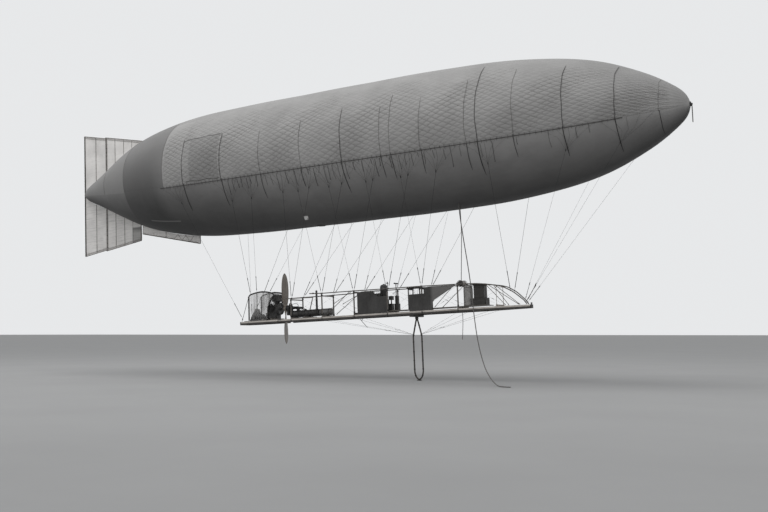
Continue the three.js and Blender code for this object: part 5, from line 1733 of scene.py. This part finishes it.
def makeEngineParts():
    shapes = []
    for side in (-1, 1):
        topBolts = [[x, side * 0.118, 0.380 + under] for x in np.arange(-3.53, -3.20, 0.055)]
        sideBolts = [[x, side * 0.125, h + under] for x in np.arange(-3.52, -3.10, 0.07)
                     for h in (0.225, 0.355)]
        shapes += hexes(topBolts, [0, 0, 1]) + hexes(sideBolts, [0, side, 0], 0.006)
    for x in (-3.485, -3.390, -3.295, -3.225):
        for way in (-0.018, 0.018):
            foot, head = [x + way, -0.075, 0.385 + under], [x + way, -0.075, 0.606 + under]
            shapes.append(rod(foot, head, 0.0045, 6))
            shapes.append(box([x + way - 0.006, -0.088, 0.604 + under],
                              [x + way + 0.006, -0.022, 0.616 + under]))
            shapes.append(lathe([(0, 0.009), (0.02, 0.009), (0.024, 0.006)],
                                [x + way, -0.075, 0.39 + under], [0, 0, 1], 8))
        shapes.append(lathe([(0, 0.012), (0.010, 0.012), (0.012, 0.007), (0.040, 0.006), (0.046, 0.003)],
                            [x, 0.012, 0.600 + under], [0, 0, 1], 8))
        lead = resampled([(x, 0.012, 0.645 + under), (x + 0.01, 0.05, 0.675 + under),
                          (x + 0.06, 0.09, 0.66 + under), (-3.20, 0.10, 0.60 + under),
                          (-3.17, 0.10, 0.50 + under)], 24)
        shapes.append(swept(lead, ring(0.0035, 6)))
    # magneto on the crankcase, an oil pump, and the pipes of oil, water and fuel
    shapes.append(box([-3.200, 0.086, 0.385 + under], [-3.115, 0.120, 0.475 + under]))
    shapes.append(lathe([(0, 0.028), (0.012, 0.030), (0.045, 0.030), (0.05, 0.024), (0.052, 0.002)],
                        [-3.16, 0.120, 0.45 + under], [0, 1, 0], 16))
    shapes.append(lathe([(0, 0.030), (0.03, 0.030), (0.034, 0.022), (0.060, 0.020), (0.062, 0.002)],
                        [-3.45, -0.125, 0.30 + under], [0, -1, 0], 14))
    for points in ([(-3.45, -0.17, 0.30), (-3.40, -0.19, 0.34), (-3.30, -0.185, 0.45), (-3.22, -0.16, 0.60),
                    (-3.18, -0.13, 0.74)],
                   [(-3.10, -0.19, 0.80), (-3.10, -0.215, 0.72), (-3.16, -0.20, 0.55), (-3.26, -0.16, 0.42),
                    (-3.30, -0.126, 0.34)],
                   [(-3.00, 0.12, 0.74), (-3.02, 0.15, 0.66), (-3.10, 0.16, 0.60), (-3.20, 0.13, 0.56)]):
        shapes.append(swept(resampled([(x, y, h + under) for x, y, h in points], 30), ring(0.008, 8)))
    for x in (-3.19, -2.96):
        for y in (-0.165, 0.165):
            shapes += hexes([[x, y, 0.930 + under]], [0, 0, 1])
    for x in (-3.17, -3.075, -2.98):
        path = np.array([[x, -0.1915, 0.742 + under], [x, -0.1925, 0.84 + under],
                         [x, -0.1915, 0.928 + under]])
        shapes.append(swept(path, flatSection(0.010, 0.0015), hint=(0, 1, 0)))
    for y in (-0.10, -0.034, 0.034, 0.10):
        shapes += hexes([[-2.70, y, 0.295 + under]], [-1, 0, 0])
    for a in np.arange(8) * np.pi / 4:
        shapes += hexes([[-2.590, 0.085 * np.cos(a), 0.490 + under + 0.085 * np.sin(a)]], [1, 0, 0], 0.008)
    for y in (-0.30, -0.24, 0.24, 0.30):
        for h in (0.465, 0.515):
            shapes += hexes([[-2.346, y, h + under]], [-1, 0, 0], 0.007)
    return merged(*shapes)


def makeCaseParts():
    shapes = []
    # upright case: bolts at the lids' corners, cooling slots, a handle and a round plate on each side
    for h in (0.30, 0.44, 0.68, 0.82):
        half = 0.111 if h < 0.55 else 0.096
        shapes += hexes([[x, -half + 0.001, h + under] for x in (0.965, 1.115)], [0, -1, 0])
    for h in np.arange(0.60, 0.66, 0.015):
        shapes.append(box([0.98, -0.098, h + under], [1.10, -0.094, h + 0.005 + under]))
    grip = [(x, y, 0.80 + under) for x, y in ((1.00, -0.096), (1.00, -0.115), (1.08, -0.115),
                                              (1.08, -0.096))]
    shapes.append(swept(resampled(grip, 16), ring(0.004, 6)))
    for side in (-1, 1):
        shapes.append(lathe([(0, 0.088), (0.003, 0.088), (0.004, 0.080), (0.004, 0.001)],
                            [1.04, side * 0.095, 0.945 + under], [0, side, 0], 32))
    # controls: three round gauges, three levers, and the grips and the collar of the column
    for x, h in ((1.27, 0.60), (1.315, 0.60), (1.50, 0.55)):
        half = 0.075 if x < 1.4 else 0.050
        shapes.append(lathe([(0, 0.026), (0.010, 0.026), (0.012, 0.022), (0.008, 0.020), (0.008, 0.001)],
                            [x, -half, h + under], [0, -1, 0], 20))
    for n, x in enumerate((1.465, 1.49, 1.515)):
        foot, head = [x, -0.055, 0.60 + under], [x - 0.05 + 0.02 * n, -0.085, 0.74 + under + 0.02 * n]
        shapes.append(rod(foot, head, 0.004, 6))
        shapes.append(lathe([(-0.012, 0.004), (-0.008, 0.011), (0.006, 0.012), (0.012, 0.005)], head,
                            unit(np.array(head) - foot), 10))
    for side in (-1, 1):
        shapes.append(lathe([(0, 0.019), (0.004, 0.021), (0.075, 0.021), (0.08, 0.017)],
                            [1.48, side * 0.04, 1.045 + under], [0, side, 0], 14))
    shapes.append(lathe([(0, 0.030), (0.01, 0.030), (0.016, 0.020), (0.03, 0.016)],
                        [1.48, 0, 0.640 + under], [0, 0, 1], 16))
    # stern case: ribs on the sloping face, bolts on the side and a filler
    for y in (-0.06, 0, 0.06):
        shapes.append(rod([-4.235, y, 0.150 + under], [-4.012, y, 0.530 + under], 0.006, 6))
    for x in (-4.10, -3.95, -3.80, -3.68):
        shapes += hexes([[x, -0.150, 0.17 + under], [x, -0.150, 0.25 + under]], [0, -1, 0])
    shapes.append(lathe([(0, 0.030), (0.02, 0.030), (0.024, 0.036), (0.034, 0.036), (0.038, 0.028),
                         (0.038, 0.001)], [-4.08, 0.0, 0.285 + under], [0, 0, 1], 16))
    return merged(*shapes)


def frameBars(x0, x1, low, high):
    # the four bars that frame a panel: from and to across, from and to in height
    left, right = (x0 + 0.01, x0 + 0.038), (x1 - 0.038, x1 - 0.01)
    foot, top = (low + 0.012, low + 0.040), (high - 0.040, high - 0.012)
    whole, between = (left[0], right[1]), (foot[1], top[0])
    return whole + foot, whole + top, left + between, right + between


def makeBoxParts():
    # framed panels on all four sides of both stages of the box, and a flared cap
    shapes = []
    for x0, x1, low, high, half in ((4.16, 4.62, 0.18, 0.40, 0.150), (4.225, 4.555, 0.40, 0.80, 0.135)):
        for side in (-1, 1):
            y0, y1 = sorted((side * half, side * (half + 0.004)))
            for a, b, c, d in frameBars(x0, x1, low, high):
                shapes.append(box([a, y0, c + under], [b, y1, d + under]))
        for way in (-1, 1):
            x = x0 if way < 0 else x1
            a, b = sorted((x, x + way * 0.004))
            for c, d, e, f in frameBars(-half, half, low, high):
                shapes.append(box([a, c, e + under], [b, d, f + under]))
    # the cap's edge widens upward
    rim = np.array([(4.195, -0.15), (4.585, -0.15), (4.585, 0.15), (4.195, 0.15)])
    middle = rim.mean(0)
    rings = []
    for grow, h in ((0.0, 0.790), (0.008, 0.794), (0.010, 0.808), (0.022, 0.818), (0.024, 0.826),
                    (0.016, 0.830)):
        rings.append(np.column_stack([middle + (rim - middle) + np.sign(rim - middle) * grow,
                                      np.full(4, h + under)]))
    points = np.vstack(rings)
    shapes.append((points, [gridFaces(len(rings), 4), np.arange(4)[None, ::-1],
                            (len(rings) - 1) * 4 + np.arange(4)[None, :]]))
    return merged(*shapes)


column = {"x": 3.985, "cordRadius": 0.0045}


def makeColumn():
    # canvas cover: upright folds that gather under the drawstring, and a shallow crown
    turn = np.linspace(0, 2 * np.pi, 181)[:-1]
    high = np.array([0.1815, 0.20, 0.26, 0.33, 0.40, 0.47, 0.54, 0.61, 0.68, 0.72, 0.745, 0.760, 0.775,
                     0.788, 0.796, 0.7995, 0.7995, 0.7995])
    base = np.array([0.144, 0.145, 0.144, 0.141, 0.143, 0.140, 0.141, 0.143, 0.141, 0.136, 0.129, 0.137,
                     0.141, 0.136, 0.120, 0.090, 0.045, 0.006])
    depth = np.array([0.003, 0.0045, 0.005, 0.0055, 0.005, 0.0055, 0.006, 0.006, 0.007, 0.009, 0.011, 0.010,
                      0.007, 0.005, 0.004, 0.003, 0.001, 0.0])
    t, h = np.meshgrid(turn, high)
    folds = 0.6 * np.sin(11 * t + 5 * h) + 0.4 * np.sin(19 * t - 7 * h + 1.0)
    r = base[:, None] + depth[:, None] * folds * 0.6
    points = np.stack([column["x"] + r * np.cos(t), r * np.sin(t), h + under], -1)
    cover = makePiece("canvas_cover", thinSheet(points, 0.0014, closed=True), "airship",
                      looks["paleCanvas"])
    cords = []
    for height, r0 in ((0.745, 0.133), (0.205, 0.148)):
        around = np.append(turn, turn[:1])
        path = np.stack([column["x"] + r0 * np.cos(around), r0 * np.sin(around),
                         np.full(181, height + under)], -1)
        cords.append(swept(path, ring(column["cordRadius"], 6), hint=(0, 0, 1)))
    a = np.radians(-118)
    rows = ((0.140, 0.140, 0.745), (0.152, 0.150, 0.60), (0.150, 0.150, 0.40), (0.152, 0.152, 0.21))
    down = [(column["x"] + rx * np.cos(a), ry * np.sin(a), height + under) for rx, ry, height in rows]
    cords.append(swept(resampled(down, 20), ring(0.004, 6)))
    ties = makePiece("cover_ties", merged(*cords), "airship", looks["strap"])
    size = area(np.concatenate([points, points[:, :1]], 1))
    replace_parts(cover, "canvas_column")


drum = {
    "x": 3.795,
    # the axle rests on the upper tubes
    "height": 0.850 + 0.016 * math.cos(math.pi / 8) + 0.0003 + 0.0151,
    "rim": 0.099,
    "rimY": 0.154,
    "coil": 0.083,
    "turns": 15,
}


def makeDrum():
    # barrel between two open cheeks on an axle, with one layer of rope laid on it
    x, z = drum["x"], drum["height"] + under
    at = [x, 0, z]
    axle = [(-0.385, 0.001), (-0.385, 0.012), (-0.382, 0.015), (-0.170, 0.015), (-0.168, 0.026),
            (-0.160, 0.028), (-0.158, 0.030), (-0.158, 0.060), (-0.152, 0.060), (-0.152, 0.074)]
    drumShape = lathe(np.vstack([axle, np.array(axle)[::-1] * [-1, 1]]), at, [0, 1, 0], 48)
    bolts = []
    for side in (-1, 1):
        # a thin turned rim on eight spokes at each end of the barrel
        around = np.linspace(0, 2 * np.pi, 49)
        y = side * drum["rimY"]
        rimX, rimZ = x + drum["rim"] * np.cos(around), z + drum["rim"] * np.sin(around)
        rim = np.stack([rimX, 0 * around + y, rimZ], -1)
        bolts.append(swept(rim, ring(0.006, 8), hint=(0, 1, 0)))
        for k in range(8):
            a = 2 * np.pi * k / 8
            inner = [x + 0.05 * np.cos(a), side * 0.155, z + 0.05 * np.sin(a)]
            bolts.append(rod(inner, [x + 0.097 * np.cos(a), y, z + 0.097 * np.sin(a)], 0.005, 6))
        bolts.append(lathe(bead(0.02, 0.018, 0.016, 0.023), [x, side * girder["half"], z], [0, 1, 0], 16))
    t = np.linspace(0, drum["turns"] * 2 * np.pi, drum["turns"] * 28)
    across = np.linspace(-0.137, 0.137, len(t))
    path = np.stack([x + drum["coil"] * np.cos(t), across, z + drum["coil"] * np.sin(t)], -1)
    length = float(np.linalg.norm(np.diff(path, axis=0), axis=1).sum())
    makePiece("drum_turns", swept(path, ring(0.009, 7), hint=(0, 1, 0)), "airship",
              looks["drumRope"], uv=ropeMap(len(t), 7, length))
    whole = merged(drumShape, *bolts)
    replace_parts(makePiece("wooden_drum", whole, "airship", looks["darkWood"]), "rope_drum")


def makeLandingHoop():
    # one bent ash hoop: two legs spring from the head, part, run straight down and meet at the shoe
    x0 = floorPlace["foot"][0]
    legRows = [(0.006, -0.086), (0.050, -0.250), (0.100, -0.450), (0.140, -0.620), (0.149, -0.700),
               (0.150, -0.900), (0.150, -1.700), (0.146, -1.780), (0.130, -1.860), (0.100, -1.935),
               (0.060, -1.985), (0.015, -2.012), (-0.020, -2.018)]
    shapes, wraps = [], []
    for way in (-1, 1):
        path = resampled([(x0 + way * x, 0, h + under) for x, h in legRows], 90)
        shapes.append(swept(path, ring(0.0245, 14)))
        for k in (10, 24, 33, 46, 58, 70, 80):
            for n in range(4):
                step = path[k + 1] - path[k]
                wraps.append(lathe(bead(0.0045, 0.003, 0.0245, 0.0285), path[k] + unit(step) * 0.009 * n,
                                   step, 14))
    hoopPiece = makePiece("landing_hoop", merged(*shapes), "airship", looks["hoopWood"])
    head = [box([x0 - 0.045, -0.030, -0.130 + under], [x0 + 0.045, 0.030, -0.0606 + under]),
            box([x0 - 0.070, -0.040, -2.052 + under], [x0 + 0.070, 0.040, -2.030 + under])]
    blocks = makePiece("hoop_head_and_shoe", merged(*head), "airship", looks["darkWood"],
                       smooth=False)
    bevelled(blocks, 0.004, 2)
    makePiece("hoop_bindings", merged(*wraps), "airship", looks["strap"])
    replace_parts(hoopPiece, "skid")


def makeNose():
    # turned cap on the nose with an eye plate and a ring for the strop
    dome = [(-0.040, 0.070), (-0.020, 0.0705), (0.006, 0.069), (0.016, 0.060), (0.021, 0.046),
            (0.0225, 0.020), (0.0225, 0.001)]
    cap = lathe(dome, [11.0, 0, 0], [1, 0, 0], 48)
    plate = box([11.010, -0.008, -0.030], [11.058, 0.008, 0.020])
    turn = np.linspace(0, 2 * np.pi, 25)
    eye = np.stack([11.036 + 0 * turn, 0.016 * np.cos(turn), -0.024 + 0.011 * np.sin(turn)], -1)
    spots = [[11.004, 0.055 * np.cos(a), 0.055 * np.sin(a)] for a in np.arange(6) * np.pi / 3]
    eyeRing = swept(eye, ring(0.004, 6), hint=(1, 0, 0))
    whole = merged(cap, plate, eyeRing, *hexes(spots, [1, 0, 0], 0.008, 0.008))
    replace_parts(makePiece("nose_cap", whole, "airship", looks["iron"]), "nose_fitting")


boxPanels = makePiece("box_panels", makeBoxParts(), "airship", looks["darkWood"], smooth=False)
bevelled(boxPanels, 0.0012)
makePiece("engine_fittings", makeEngineParts(), "airship", looks["greyIron"])
makePiece("case_fittings", makeCaseParts(), "airship", looks["greyIron"])
makeColumn()
makeDrum()
makeLandingHoop()
makeNose()
print("engine, drum, column, box and landing hoop made")
